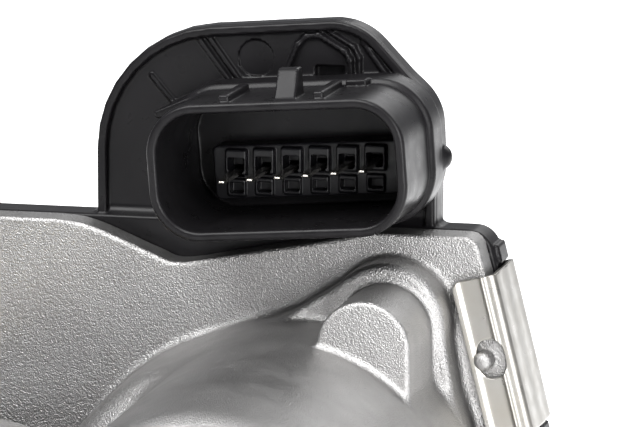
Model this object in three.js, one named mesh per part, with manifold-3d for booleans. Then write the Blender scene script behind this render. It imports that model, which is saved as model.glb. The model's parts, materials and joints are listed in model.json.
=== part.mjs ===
// Motor-driven throttle body: cast housing, gear train, DC motor, plastic gear cover with a six-pin socket.
//
// Millimetres, +Z up. In the working frame the bore's axis stands along Z. The throttle shaft and the motor
// lie along Y: the gear cover closes the +Y side and the motor's blind dome points to -Y. The group is moved
// at the end, so that the origin is the bottom centre of the whole part.
import * as THREE from "three";
import { mergeVertices } from "three/addons/utils/BufferGeometryUtils.js";
import Module from "manifold-3d";

const wasm = await Module();
wasm.setup();

// ---- driving dimensions ----
const GAP = 0.3; // between pieces that touch
const BORE_R = 28;
const BORE_Y = -6;
const BARREL_R = 32.2;
const BEAD_R = 34.2;
const INLET_Z = 58;
const ENGINE_Z = -5;
const SHAFT = { x: 0, z: 31, r: 4.5 };
const LIMP_HOME = THREE.MathUtils.degToRad(7);
const BOLTS = [24, 29]; // half spacing along X and Y, about the bore's axis
const BOLT_HOLE_R = 3.3;
const FLANGE_THICK = 8;

const PLATE_FRONT = 31; // the flat gear-case wall of the housing, seen from the motor's side
const CASE_FLOOR = 33.6;
const CASE_FACE = 36;
const RIM_FRONT = CASE_FACE + GAP;
const RIM_BACK = 42;
const ROOF = 53.6;
const COVER_BACK = 56;

// Corners of the gear case, [x, z, corner radius], counter-clockwise as seen from -Y.
const CASE = [
  [-33.6, 19.9, 9],
  [-9.5, -4.2, 9],
  [78.5, 19, 12],
  [90, 52.7, 12],
  [81.8, 85.3, 3.4],
  [-24, 85.3, 9],
];
// The seal follows the same corners, but steps down below the dip under the socket.
const SEAL = [...CASE.slice(0, 5), [65, 85.3, 5], [52, 78.5, 5], [-24.9, 78.5, 9]];

const MOTOR = { x: 56, z: 50 };
const MOTOR_BORE_R = 20.2;
const MOTOR_BORE_FLOOR = -33;
const BUSH_POCKET = { r: 6.4, floor: -36.4 };
// The casting round the motor stands a little off the motor's axis, on a wide round shoulder of the wall.
const MOTOR_CAST = { x: 58.5, z: 48.8 };
const MOTOR_ROOT_R = 25;
const MOTOR_FRONT_R = 24.3;
const MOTOR_DOME_Y = -40;
const DOME_DEPTH = 9;
const SHOULDER = { x: 52, z: 41, r: 30.4, front: 9, edge: 5.4 };

// Two screws hold the motor. Each goes into a boss of the casting that runs towards the motor.
const SCREW_TOP = { x: 70, z: 73 };
const SCREW_LOW = { x: 42.4, z: 29.6 };
const SCREW_HOLE = { r: 2.3, floor: 22.6 };
const TOP_BOSS = { from: [70, 73], to: [70.2, 58], r: 6.5, front: 10.5 };
const LOW_BOSS = { from: [42.4, 29.6], to: [52, 41], r: 5.6, front: 5 };
// The top boss stands on a wider step of the case wall.
const TOP_STEPS = [
  { from: [69.7, 73.7], to: [72.4, 58], r: 8, front: 25 },
  { from: [69.7, 73.7], to: [54, 63.5], r: 8, front: 25 },
];

const GEAR_MODULE = 0.8;
const PRESSURE = THREE.MathUtils.degToRad(25);
const ADDENDUM = 0.8;
const DEDENDUM = 1.05;
const BACKLASH = 0.26;
const SECTOR_TEETH = 62;
const SMALL_TEETH = 16;
const WHEEL_TEETH = 58;
const PINION_TEETH = 12;
const SECTOR_LAYER = [42.2, 47];
const WHEEL_LAYER = [47.9, 51.4];

const SOCKET = { x: 56.5, z: 96, width: 36.4, height: 19.1, corner: 7, wall: 1.4 };
const SOCKET_TILT = THREE.MathUtils.degToRad(4.2);
const SOCKET_FRONT = 16;
const SOCKET_FLOOR = 37.7;
const EAR_FRONT = 38;
const EAR_BACK = 41.5;
const PIN = { pitch: 4, tip: 24.6, root: 39.5, width: 1.2, height: 0.6, z: 93.8 };
const PIN_ROW_TILT = THREE.MathUtils.degToRad(6.6);

const CLIP = { length: 22.9, sheet: 0.8, leg: 5.3, backLeg: 2.9 };
const CLIP_HOLE = { r: 1.95, stretch: 1.4, z: -2.2 };
const CLIP_PEG = { r: 1.2, z: -2.65, proud: 1.2 };
const CLIP_STOP = { length: 2.8, height: 0.7 };
const TOP_CLIP = 1; // the clip on the long top edge has no stops
const CLIP_FRONT = PLATE_FRONT - GAP - CLIP.sheet;
const CLIP_BACK = RIM_BACK + GAP + CLIP.sheet;
// Each clip sits on one straight edge of the case: [first corner, share of the way to the next corner].
const CLIP_PLACES = [
  [3, 0.5],
  [4, 0.8],
  [5, 0.4],
  [0, 0.505],
  [1, 0.79],
];

// ---- finishes ----
const FINISHES = {
  cast: { color: 0xa9a7a3, roughness: 0.5, metalness: 0.9 },
  machined: { color: 0xc4c4c6, roughness: 0.28, metalness: 1 },
  steel: { color: 0xb9b4ac, roughness: 0.3, metalness: 1 },
  darkSteel: { color: 0x5d5d60, roughness: 0.4, metalness: 0.9 },
  brass: { color: 0xb9995a, roughness: 0.32, metalness: 1 },
  tin: { color: 0xd8d4cc, roughness: 0.25, metalness: 1 },
  copper: { color: 0xb5683c, roughness: 0.35, metalness: 1 },
  blackPlastic: { color: 0x17181a, roughness: 0.38, metalness: 0 },
  blockPlastic: { color: 0x101113, roughness: 0.5, metalness: 0 },
  gearPlastic: { color: 0xd9d4c4, roughness: 0.5, metalness: 0 },
  rubber: { color: 0x1c1c1e, roughness: 0.75, metalness: 0 },
  ferrite: { color: 0x3a3a3d, roughness: 0.7, metalness: 0.2 },
  board: { color: 0x1f4a35, roughness: 0.55, metalness: 0 },
};

// ---- solids ----
function solid(geometry) {
  const bare = geometry.clone();
  bare.deleteAttribute("normal");
  bare.deleteAttribute("uv");
  const merged = mergeVertices(bare, 1e-4);
  const corners = merged.index.array;
  const kept = [];
  for (let i = 0; i < corners.length; i += 3) {
    const [a, b, c] = corners.slice(i, i + 3);
    if (a !== b && b !== c && c !== a) kept.push(a, b, c);
  }
  const vertProperties = merged.attributes.position.array;
  const build = (order) =>
    new wasm.Manifold(new wasm.Mesh({ numProp: 3, vertProperties, triVerts: new Uint32Array(order) }));
  const made = build(kept);
  return made.volume() < 0 ? build(kept.reverse()) : made;
}

function geometryOf(manifold) {
  const mesh = manifold.getMesh();
  const geometry = new THREE.BufferGeometry();
  geometry.setAttribute("position", new THREE.BufferAttribute(mesh.vertProperties, 3));
  geometry.setIndex(new THREE.BufferAttribute(mesh.triVerts, 1));
  geometry.computeVertexNormals();
  return geometry;
}

const join = (...solids) => solids.reduce((all, one) => all.add(one));
const cut = (from, ...tools) => tools.reduce((left, tool) => left.subtract(tool), from);

function box(x0, x1, y0, y1, z0, z1) {
  const geometry = new THREE.BoxGeometry(x1 - x0, y1 - y0, z1 - z0);
  return solid(geometry.translate((x0 + x1) / 2, (y0 + y1) / 2, (z0 + z1) / 2));
}

function rodY(r, y0, y1, { x, z } = SHAFT, sides = 24) {
  return solid(new THREE.CylinderGeometry(r, r, y1 - y0, sides).translate(x, (y0 + y1) / 2, z));
}

function rodZ(r, z0, z1, x, y, sides = 24) {
  const geometry = new THREE.CylinderGeometry(r, r, z1 - z0, sides).rotateX(Math.PI / 2);
  return solid(geometry.translate(x, y, (z0 + z1) / 2));
}

const ringY = (inner, outer, y0, y1, place = SHAFT, sides = 24) =>
  cut(rodY(outer, y0, y1, place, sides), rodY(inner, y0 - 1, y1 + 1, place, sides));

// An outline drawn in X and Z, given its thickness along Y. A bevel rounds the edges of both ends.
function prismY(outline, y0, y1, curveSegments = 2, bevel = 0) {
  const geometry = new THREE.ExtrudeGeometry(outline, {
    depth: y1 - y0 - 2 * bevel,
    curveSegments,
    bevelEnabled: bevel > 0,
    bevelThickness: bevel,
    bevelSize: bevel,
    bevelOffset: -bevel,
    bevelSegments: 2,
  });
  return solid(geometry.rotateX(Math.PI / 2).translate(0, y1 - bevel, 0));
}

// A profile of [radius, y] points turned about an axis along Y.
function turnedY(profile, { x, z }, sides = 40) {
  const points = profile.map(([r, y]) => new THREE.Vector2(r, y));
  return solid(new THREE.LatheGeometry(points, sides).translate(x, 0, z));
}

// ---- outlines ----
function roundedOutline(corners) {
  const shape = new THREE.Shape();
  const count = corners.length;
  corners.forEach(([x, z, r], i) => {
    const corner = new THREE.Vector2(x, z);
    const toPoint = ([px, pz]) => new THREE.Vector2(px, pz).sub(corner).normalize();
    const back = toPoint(corners[(i + count - 1) % count]);
    const ahead = toPoint(corners[(i + 1) % count]);
    const half = Math.acos(back.dot(ahead)) / 2;
    const inward = back.clone().add(ahead).normalize();
    const centre = corner.clone().addScaledVector(inward, r / Math.sin(half));
    const start = corner.clone().addScaledVector(back, r / Math.tan(half)).sub(centre);
    const end = corner.clone().addScaledVector(ahead, r / Math.tan(half)).sub(centre);
    const concave = back.cross(ahead) > 0;
    shape.absarc(centre.x, centre.y, r, start.angle(), end.angle(), concave);
  });
  return shape;
}

// The same corners moved inward by a distance.
function inset(corners, distance) {
  const count = corners.length;
  return corners.map(([x, z, r], i) => {
    const [bx, bz] = corners[(i + count - 1) % count];
    const [ax, az] = corners[(i + 1) % count];
    const before = new THREE.Vector2(bz - z, x - bx).normalize();
    const after = new THREE.Vector2(z - az, ax - x).normalize();
    const both = before.clone().add(after);
    const move = both.clone().multiplyScalar(distance / both.dot(after));
    const concave = before.cross(after) < 0;
    return [x + move.x, z + move.y, concave ? r + distance : Math.max(r - distance, 0.6)];
  });
}

const sealOutline = (distance) => roundedOutline(inset(SEAL, distance));

function roundedRectangle(width, height, radius) {
  const [w, h] = [width / 2, height / 2];
  return roundedOutline([[-w, -h, radius], [w, -h, radius], [w, h, radius], [-w, h, radius]]);
}

// ---- gear teeth ----
const polar = (r, angle) => new THREE.Vector2(r * Math.cos(angle), r * Math.sin(angle));

// The outline points of teeth number `first` to `last`, on a gear with a tooth centred at the angle `phase`.
function toothPoints(teeth, phase, first, last) {
  const pitchR = (GEAR_MODULE * teeth) / 2;
  const baseR = pitchR * Math.cos(PRESSURE);
  const rootR = pitchR - DEDENDUM * GEAR_MODULE;
  const tipR = pitchR + ADDENDUM * GEAR_MODULE;
  const involute = (angle) => Math.tan(angle) - angle;
  const pitchHalf = Math.PI / (2 * teeth) - BACKLASH / (4 * pitchR);
  const halfAt = (r) => pitchHalf + involute(PRESSURE) - involute(Math.acos(Math.min(1, baseR / r)));
  const startR = Math.max(baseR, rootR);
  const flank = [startR, tipR].map((r) => [r, halfAt(r)]);
  if (baseR > rootR + 0.05) flank.unshift([rootR, halfAt(baseR)]);
  const points = [];
  for (let tooth = first; tooth <= last; tooth++) {
    const middle = phase + (tooth * 2 * Math.PI) / teeth;
    flank.forEach(([r, half]) => points.push(polar(r, middle - half)));
    [...flank].reverse().forEach(([r, half]) => points.push(polar(r, middle + half)));
  }
  return points;
}

function gear(teeth, phase, y0, y1, place) {
  const outline = new THREE.Shape(toothPoints(teeth, phase, 0, teeth - 1));
  return prismY(outline, y0, y1).translate(place.x, 0, place.z);
}

// Centres of the gear train: the double gear stands beside the line from the shaft to the motor.
const FIRST_REACH = (GEAR_MODULE * (SECTOR_TEETH + SMALL_TEETH)) / 2;
const SECOND_REACH = (GEAR_MODULE * (WHEEL_TEETH + PINION_TEETH)) / 2;
const SPAN = Math.hypot(MOTOR.x - SHAFT.x, MOTOR.z - SHAFT.z);
const SPAN_ANGLE = Math.atan2(MOTOR.z - SHAFT.z, MOTOR.x - SHAFT.x);
const SIDE_ANGLE = Math.acos((FIRST_REACH ** 2 + SPAN ** 2 - SECOND_REACH ** 2) / (2 * FIRST_REACH * SPAN));
const TO_DOUBLE = SPAN_ANGLE + SIDE_ANGLE;
const DOUBLE = {
  x: SHAFT.x + FIRST_REACH * Math.cos(TO_DOUBLE),
  z: SHAFT.z + FIRST_REACH * Math.sin(TO_DOUBLE),
};
const TO_MOTOR = Math.atan2(MOTOR.z - DOUBLE.z, MOTOR.x - DOUBLE.x);

// ---- scene graph ----
const throttleBody = new THREE.Group();
const working = new THREE.Group();
throttleBody.add(working);

function place(name, shape, finish, parent = working) {
  const geometry = shape.isBufferGeometry ? shape : geometryOf(shape);
  const mesh = new THREE.Mesh(geometry, new THREE.MeshStandardMaterial(FINISHES[finish]));
  mesh.name = name;
  parent.add(mesh);
  return mesh;
}

// ---- spring clips ----
// A clip is drawn on a level edge, with the case below it, and then laid on its own edge.
function clipFrames() {
  return CLIP_PLACES.map(([corner, share]) => {
    const [x0, z0] = CASE[corner];
    const [x1, z1] = CASE[(corner + 1) % CASE.length];
    return {
      x: x0 + (x1 - x0) * share,
      z: z0 + (z1 - z0) * share,
      turn: Math.atan2(z1 - z0, x1 - x0) + Math.PI,
    };
  });
}

const onEdge = (shape, frame) =>
  shape.rotate([0, -THREE.MathUtils.radToDeg(frame.turn), 0]).translate(frame.x, 0, frame.z);

function clipSolid() {
  const half = CLIP.length / 2;
  const webFoot = GAP;
  const web = box(-half, half, CLIP_FRONT, CLIP_BACK, webFoot, webFoot + CLIP.sheet);
  const front = box(-half, half, CLIP_FRONT, CLIP_FRONT + CLIP.sheet, -CLIP.leg, webFoot + CLIP.sheet);
  const back = box(-half, half, CLIP_BACK - CLIP.sheet, CLIP_BACK, -CLIP.backLeg, webFoot + CLIP.sheet);
  const round = rodY(CLIP_HOLE.r, CLIP_FRONT - 1, CLIP_FRONT + 2, { x: 0, z: 0 }, 14);
  const hole = round.scale([CLIP_HOLE.stretch, 1, 1]).translate(0, 0, CLIP_HOLE.z);
  return cut(join(web, front, back), hole);
}

// The casting's peg stands in the clip's hole.
const clipPeg = () =>
  rodY(CLIP_PEG.r, CLIP_FRONT - CLIP_PEG.proud, PLATE_FRONT + 0.5, { x: 0, z: CLIP_PEG.z }, 10);

// Two low blocks on the cover's rim keep a clip from sliding along the edge.
function clipStops() {
  const start = CLIP.length / 2 + GAP;
  const end = start + CLIP_STOP.length;
  const stop = (from, to) => box(from, to, RIM_FRONT + 0.9, RIM_BACK, -2, CLIP_STOP.height);
  return join(stop(start, end), stop(-end, -start));
}

// The space that the casting leaves free for a clip: before the wall, and outside its edge.
function clipRoom() {
  const half = CLIP.length / 2 + 1;
  const start = CLIP_FRONT - 12;
  const before = box(-half, half, start, PLATE_FRONT, -CLIP.leg - 0.4, 8);
  return join(before, box(-half, half, start, CASE_FACE + 1, 0.05, 8));
}

// ---- housing ----
// An outline round a point that runs on, with straight sides, to the motor's axis.
function towardsMotor({ x, z }, r) {
  const away = Math.atan2(z - MOTOR.z, x - MOTOR.x);
  const outline = new THREE.Shape();
  outline.absarc(x, z, r, away - Math.PI / 2, away + Math.PI / 2);
  outline.lineTo(MOTOR.x, MOTOR.z);
  return outline;
}

// A bar of the casting with round ends, from its front face to the case wall.
function castBar({ from, to, r, front }) {
  const along = Math.atan2(to[1] - from[1], to[0] - from[0]);
  const outline = new THREE.Shape();
  outline.absarc(...to, r, along - Math.PI / 2, along + Math.PI / 2);
  outline.absarc(...from, r, along + Math.PI / 2, along + (3 * Math.PI) / 2);
  return prismY(outline, front, PLATE_FRONT + 1, 5);
}

function shoulder() {
  const { r, front, edge } = SHOULDER;
  const profile = [[0, front], [r - edge, front], [r - 2, front + 2], [r - 0.6, front + 6]];
  profile.push([r, PLATE_FRONT + 1], [0, PLATE_FRONT + 1]);
  return turnedY(profile, SHOULDER, 48);
}

function motorHousing() {
  const profile = [[0, MOTOR_DOME_Y]];
  for (const share of [0.35, 0.62, 0.84, 1]) {
    const angle = (share * Math.PI) / 2;
    profile.push([MOTOR_FRONT_R * Math.sin(angle), MOTOR_DOME_Y + DOME_DEPTH * (1 - Math.cos(angle))]);
  }
  profile.push([MOTOR_ROOT_R, PLATE_FRONT + 1], [0, PLATE_FRONT + 1]);
  const whole = join(
    turnedY(profile, MOTOR_CAST, 40),
    shoulder(),
    ...[TOP_BOSS, ...TOP_STEPS, LOW_BOSS].map(castBar),
  );
  return whole.intersect(prismY(roundedOutline(inset(CASE, 0.01)), MOTOR_DOME_Y - 5, CASE_FACE));
}

function barrel() {
  const lip = [
    [0, ENGINE_Z],
    [BARREL_R, ENGINE_Z],
    [BARREL_R, INLET_Z - 5.5],
    [BEAD_R, INLET_Z - 4],
    [BEAD_R, INLET_Z - 1.5],
    [BEAD_R - 1, INLET_Z],
    [0, INLET_Z],
  ];
  const points = lip.map(([r, z]) => new THREE.Vector2(r, z));
  const tube = solid(new THREE.LatheGeometry(points, 40).rotateX(Math.PI / 2).translate(0, BORE_Y, 0));
  const [bx, by] = BOLTS;
  const square = prismY(roundedRectangle(2 * bx + 14, 2 * by + 14, 7), 0, FLANGE_THICK);
  const corners = square.rotate([-90, 0, 0]).translate(0, BORE_Y, ENGINE_Z + FLANGE_THICK);
  const disc = rodZ(35.8, ENGINE_Z, ENGINE_Z + FLANGE_THICK, 0, BORE_Y, 40);
  const shaftBoss = rodY(11.5, BORE_Y - 40.5, BORE_Y - 26);
  const caseBoss = rodY(12.5, 16, PLATE_FRONT + 1);
  const ribs = [-17.5, 13.5].map((x) => box(x, x + 4, 12, PLATE_FRONT + 1, ENGINE_Z + 4, 48));
  const motorWeb = box(20, 42, -14, PLATE_FRONT + 1, 38, 52);
  const flangeWeb = box(-17, 17, 20, PLATE_FRONT + 1, ENGINE_Z + 5, 20);
  return { tube, rest: join(corners, disc, shaftBoss, caseBoss, motorWeb, flangeWeb, ...ribs) };
}

// The lower edge, [x, z], of the dip in the top of the case wall, under the socket.
const DIP_EDGE = [
  [17, 86.4],
  [21.5, 85.5],
  [26.6, 84.2],
  [34.6, 81],
  [38.7, 79.9],
  [48.2, 81.7],
  [63.3, 84.7],
  [68, 86.4],
];

function socketDip() {
  const edge = new THREE.SplineCurve(DIP_EDGE.map(([x, z]) => new THREE.Vector2(x, z)));
  const outline = new THREE.Shape(edge.getPoints(14));
  outline.lineTo(68, 90);
  outline.lineTo(17, 90);
  return prismY(outline, PLATE_FRONT - 2, CASE_FACE + 2);
}

const STOP_ANGLE = THREE.MathUtils.degToRad(216);
const STOP_R = 15.5;

// Shapes of the closed stop are drawn along X from the tip and turned so that X runs along the screw.
const onStop = (shape) => {
  const along = STOP_ANGLE + Math.PI / 2;
  const tip = polar(STOP_R, STOP_ANGLE);
  const turned = shape.rotate([0, -THREE.MathUtils.radToDeg(along), 0]);
  return turned.translate(SHAFT.x + tip.x, 0, SHAFT.z + tip.y);
};

const STOP_SCREW_Y = 44.6; // the middle of the sector gear's layer

function stopScrewRod(r, from, to) {
  const rod = new THREE.CylinderGeometry(r, r, to - from, 12).rotateZ(Math.PI / 2);
  return solid(rod.translate((from + to) / 2, STOP_SCREW_Y, 0));
}

function housing() {
  const wall = prismY(roundedOutline(CASE), PLATE_FRONT, CASE_FACE);
  const pocket = prismY(sealOutline(5), CASE_FLOOR, CASE_FACE + 1);
  const gearPinBoss = rodY(5, PLATE_FRONT + 1, 37, DOUBLE, 14);
  const bearingBoss = rodY(9.6, PLATE_FRONT + 1, 37.6, SHAFT, 24);
  const stopPost = onStop(box(4, 10, CASE_FLOOR - 1, 48, -3, 3));
  const { tube, rest } = barrel();
  const rooms = clipFrames().map((frame) => onEdge(clipRoom(), frame));
  // The tube joins after the clips' rooms are cut, so that none of them opens into the bore.
  let body = cut(join(wall, motorHousing(), rest), socketDip(), pocket, ...rooms);
  body = join(body, tube, gearPinBoss, bearingBoss, stopPost);
  body = cut(body, rodZ(BORE_R, ENGINE_Z - 1, INLET_Z + 1, 0, BORE_Y, 48));
  const bearings = [rodY(8.1, 26.9, 39), rodY(8.1, -60, -36.9)];
  const seals = [rodY(7.1, 25.2, 40), rodY(7.1, -60, -35.2)];
  const shaftHole = rodY(5.1, -60, 40);
  const motorBore = join(
    rodY(MOTOR_BORE_R, MOTOR_BORE_FLOOR, 40, MOTOR, 28),
    rodY(BUSH_POCKET.r, BUSH_POCKET.floor, 0, MOTOR, 28),
  );
  const [bx, by] = BOLTS;
  const bolts = [[-bx, -by], [bx, -by], [bx, by], [-bx, by]].map(([x, y]) =>
    join(
      rodZ(BOLT_HOLE_R, ENGINE_Z - 1, ENGINE_Z + 9, x, BORE_Y + y, 14),
      rodZ(6, ENGINE_Z + FLANGE_THICK, ENGINE_Z + 34, x, BORE_Y + y, 14),
    ),
  );
  const screws = [SCREW_TOP, SCREW_LOW].map((spot) => rodY(SCREW_HOLE.r, SCREW_HOLE.floor, 36, spot, 10));
  const pinHole = rodY(2.3, 32, 40, DOUBLE, 12);
  const stopHole = onStop(stopScrewRod(2.3, 2, 12));
  const sealGroove = cut(
    rodZ(33.2, ENGINE_Z - 1, ENGINE_Z + 2.3, 0, BORE_Y, 40),
    rodZ(30.2, ENGINE_Z - 2, ENGINE_Z + 3, 0, BORE_Y, 40),
  );
  body = cut(body, ...bearings, ...seals, shaftHole, motorBore);
  body = cut(body, ...bolts, ...screws, pinHole, stopHole, sealGroove);
  const pegs = clipFrames().map((frame) => onEdge(clipPeg(), frame));
  return join(body, ...pegs);
}

// ---- gear cover ----
function onSocket(shape) {
  const tilt = -THREE.MathUtils.radToDeg(SOCKET_TILT);
  return shape.rotate([0, tilt, 0]).translate(SOCKET.x, 0, SOCKET.z);
}

// The upright ear behind the socket: corners [x, z, corner radius], with a lip round its edge.
const EAR = [
  [24.9, 76, 1],
  [74, 76, 1],
  [74, 102.5, 8],
  [63, 114.2, 9],
  [24.9, 111.2, 18],
];
const EAR_LIP = 1.5;
const EAR_BOX = { width: 39.2, height: 29, corner: 5, x: 53.6, z: 86.5, back: 48 };

// The wedge on the socket's collar that holds the plug's latch.
const LATCH = { front: 17.2, crest: 20.4, back: 22.6, height: 4.1, width: 3.1 };

function socketShell() {
  const { width, height, corner, wall } = SOCKET;
  const tube = prismY(roundedRectangle(width, height, corner), SOCKET_FRONT, EAR_BACK, 4);
  const collar = prismY(roundedRectangle(width + 1.6, height + 1.6, corner + 0.8), 30, 36, 4);
  const latchRamp = new THREE.Shape();
  latchRamp.moveTo(LATCH.front, 0);
  latchRamp.lineTo(LATCH.crest, LATCH.height);
  latchRamp.lineTo(LATCH.back, LATCH.height);
  latchRamp.lineTo(LATCH.back, 0);
  const wedge = new THREE.ExtrudeGeometry(latchRamp, { depth: LATCH.width, bevelEnabled: false });
  wedge.rotateX(Math.PI / 2).rotateZ(Math.PI / 2);
  const ramp = solid(wedge.translate(LATCH.width, 0, height / 2 - 0.5));
  const guides = [-6.5, 6.5].map((x) =>
    box(x - 0.7, x + 0.7, SOCKET_FRONT + 0.6, 28, height / 2 - 0.5, height / 2 + 1.1),
  );
  const mouth = prismY(
    roundedRectangle(width - 2 * wall, height - 2 * wall, corner - wall),
    SOCKET_FRONT - 1,
    SOCKET_FLOOR,
    4,
  );
  return { shell: onSocket(join(tube, collar, ramp, ...guides)), mouth: onSocket(mouth) };
}

function pinPlaces() {
  return [0, 1, 2, 3, 4, 5].map((index) => {
    const along = (index - 2.5) * PIN.pitch;
    return { x: SOCKET.x + along, z: PIN.z + along * Math.tan(PIN_ROW_TILT) };
  });
}

function gearCover() {
  const rim = prismY(roundedOutline(CASE), RIM_FRONT, RIM_BACK);
  const domeCorners = inset(CASE, 3).map(([x, z, r]) => [x, z, r + 2.5]);
  const dome = prismY(roundedOutline(domeCorners), RIM_FRONT + 2, COVER_BACK, 2, 2);
  const ear = prismY(roundedOutline(EAR), EAR_FRONT, EAR_BACK, 6);
  const earLip = cut(
    prismY(roundedOutline(EAR), RIM_FRONT + 0.6, EAR_BACK, 6),
    prismY(roundedOutline(inset(EAR, EAR_LIP)), RIM_FRONT - 1, EAR_BACK + 1, 6),
    box(EAR[0][0] + EAR_LIP, EAR[1][0] - EAR_LIP, RIM_FRONT - 1, EAR_BACK + 1, 60, 80),
  );
  const boxOutline = roundedRectangle(EAR_BOX.width, EAR_BOX.height, EAR_BOX.corner);
  const earBox = prismY(boxOutline, EAR_BACK - 1, EAR_BOX.back, 2, 1.5).translate(EAR_BOX.x, 0, EAR_BOX.z);
  const { shell, mouth } = socketShell();
  const chamber = prismY(sealOutline(5), RIM_FRONT - 1, ROOF);
  const sealGroove = cut(
    prismY(sealOutline(1.6), RIM_FRONT - 1, RIM_FRONT + 1.8),
    prismY(sealOutline(3.6), RIM_FRONT - 2, RIM_FRONT + 3),
  );
  const pinHoles = pinPlaces().map(({ x, z }) =>
    box(x - 0.9, x + 0.9, SOCKET_FLOOR - 1, PIN.root + GAP, z - 0.6, z + 0.6),
  );
  const gearPinSocket = cut(rodY(4.6, 51.8, ROOF + 1, DOUBLE, 20), rodY(2.3, 51, 52.9, DOUBLE, 16));
  const stops = clipFrames()
    .filter((_, index) => index !== TOP_CLIP)
    .map((frame) => onEdge(clipStops(), frame));
  let body = join(rim, dome, ear, earLip, earBox, shell, ...stops);
  body = cut(body, mouth, chamber, sealGroove, ...pinHoles);
  return join(body, gearPinSocket);
}

function coverGasket() {
  return cut(
    prismY(sealOutline(1.6 + GAP), RIM_FRONT, RIM_FRONT + 1.5),
    prismY(sealOutline(3.6 - GAP), RIM_FRONT - 1, RIM_FRONT + 3),
  );
}

// ---- socket insides ----
function terminalBlock() {
  const pins = pinPlaces();
  const slope = Math.tan(SOCKET_TILT);
  const low = -6.4;
  const high = 1.2;
  const block = onSocket(box(-13.6, 13.6, 33.2, SOCKET_FLOOR - GAP, low, high));
  const cells = pins.map(({ x }) => {
    const z = SOCKET.z + (x - SOCKET.x) * slope;
    return box(x - 1.3, x + 1.3, 32, 35, z - 0.9, z + 2);
  });
  const pinHoles = pins.map(({ x, z }) => box(x - 0.9, x + 0.9, 32, 39, z - 0.6, z + 0.6));
  return cut(block, ...cells, ...pinHoles);
}

function terminalPin({ x, z }) {
  const outline = new THREE.Shape();
  const half = PIN.width / 2;
  outline.moveTo(-half, PIN.root);
  outline.lineTo(-half, PIN.tip + 1);
  outline.lineTo(-half * 0.4, PIN.tip);
  outline.lineTo(half * 0.4, PIN.tip);
  outline.lineTo(half, PIN.tip + 1);
  outline.lineTo(half, PIN.root);
  const blade = new THREE.ExtrudeGeometry(outline, { depth: PIN.height, bevelEnabled: false });
  return solid(blade.translate(x, 0, z - PIN.height / 2));
}

// ---- throttle ----
const SCREW_YS = [BORE_Y - 13, BORE_Y + 13];
const PLATE_HALF = 1.2;
const SLOT_HALF = PLATE_HALF + GAP;

function throttleShaft() {
  const { x, z, r } = SHAFT;
  const slot = box(x - 6, x + 6, BORE_Y - 28.4, BORE_Y + 28.4, z - SLOT_HALF, z + SLOT_HALF);
  const seats = SCREW_YS.map((y) => rodZ(4, z + 3.5, z + 8, x, y, 16));
  const holes = SCREW_YS.map((y) => rodZ(2.3, z - 8, z + 8, x, y, 12));
  return cut(rodY(r, -43.6, 46.6, SHAFT, 28), slot, ...seats, ...holes);
}

function throttlePlate() {
  const { x, z } = SHAFT;
  const disc = rodZ(BORE_R - 0.2, z - PLATE_HALF, z + PLATE_HALF, x, BORE_Y, 48);
  return cut(disc, ...SCREW_YS.map((y) => rodZ(2.3, z - 3, z + 3, x, y, 12)));
}

function plateScrew(y) {
  const { x, z } = SHAFT;
  const seat = z + 3.5 + GAP;
  const head = cut(rodZ(3.4, seat, seat + 1.9, x, y, 16), rodZ(1.3, seat + 0.9, seat + 3, x, y, 6));
  return join(head, rodZ(2, z - 4.6, seat + 0.4, x, y, 12));
}

function sectorGear() {
  const [y0, y1] = SECTOR_LAYER;
  const teeth = toothPoints(SECTOR_TEETH, TO_DOUBLE, -3, 16);
  const wedge = prismY(new THREE.Shape([...teeth, new THREE.Vector2(0, 0)]), y0, y1);
  const window = (from, to) => {
    const outline = new THREE.Shape();
    outline.absarc(0, 0, 19, from, to, false);
    outline.absarc(0, 0, 12.5, to, from, true);
    return prismY(outline, y0 - 1, y1 + 1, 3);
  };
  const degrees = THREE.MathUtils.degToRad;
  const windows = [-10, 30].map((start) => {
    const from = TO_DOUBLE + degrees(start);
    return window(from, from + degrees(32));
  });
  // The lug turns against the closed stop's screw.
  const lugInner = [186, 214].map((angle) => polar(8, degrees(angle)));
  const lugOuter = [192, 207.5].map((angle) => polar(18.5, degrees(angle)));
  const lug = prismY(new THREE.Shape([lugInner[0], ...lugOuter, lugInner[1]]), y0, y1);
  const flat = { x: 0, z: 0 };
  const hub = join(rodY(10, y0 - 0.6, y1, flat), rodY(6.7, y1 - 1, 50.2, flat, 28));
  const shaftHole = rodY(SHAFT.r + 0.15, y0 - 2, 46.9, flat, 28);
  const magnetCup = rodY(5.6, 47.6, 51, flat, 24);
  const body = cut(join(wedge, lug, hub), ...windows, shaftHole, magnetCup);
  return body.translate(SHAFT.x, 0, SHAFT.z);
}

function doubleGear() {
  const [y0, y1] = WHEEL_LAYER;
  const small = gear(SMALL_TEETH, TO_DOUBLE + Math.PI + Math.PI / SMALL_TEETH, 41.8, y0 + 0.5, DOUBLE);
  const wheel = gear(WHEEL_TEETH, TO_MOTOR, y0, y1, DOUBLE);
  const recess = ringY(9, 20.5, y1 - 1.1, y1 + 1, DOUBLE, 32);
  return cut(join(small, wheel), recess, rodY(2.12, 40, 53, DOUBLE, 24));
}

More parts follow.
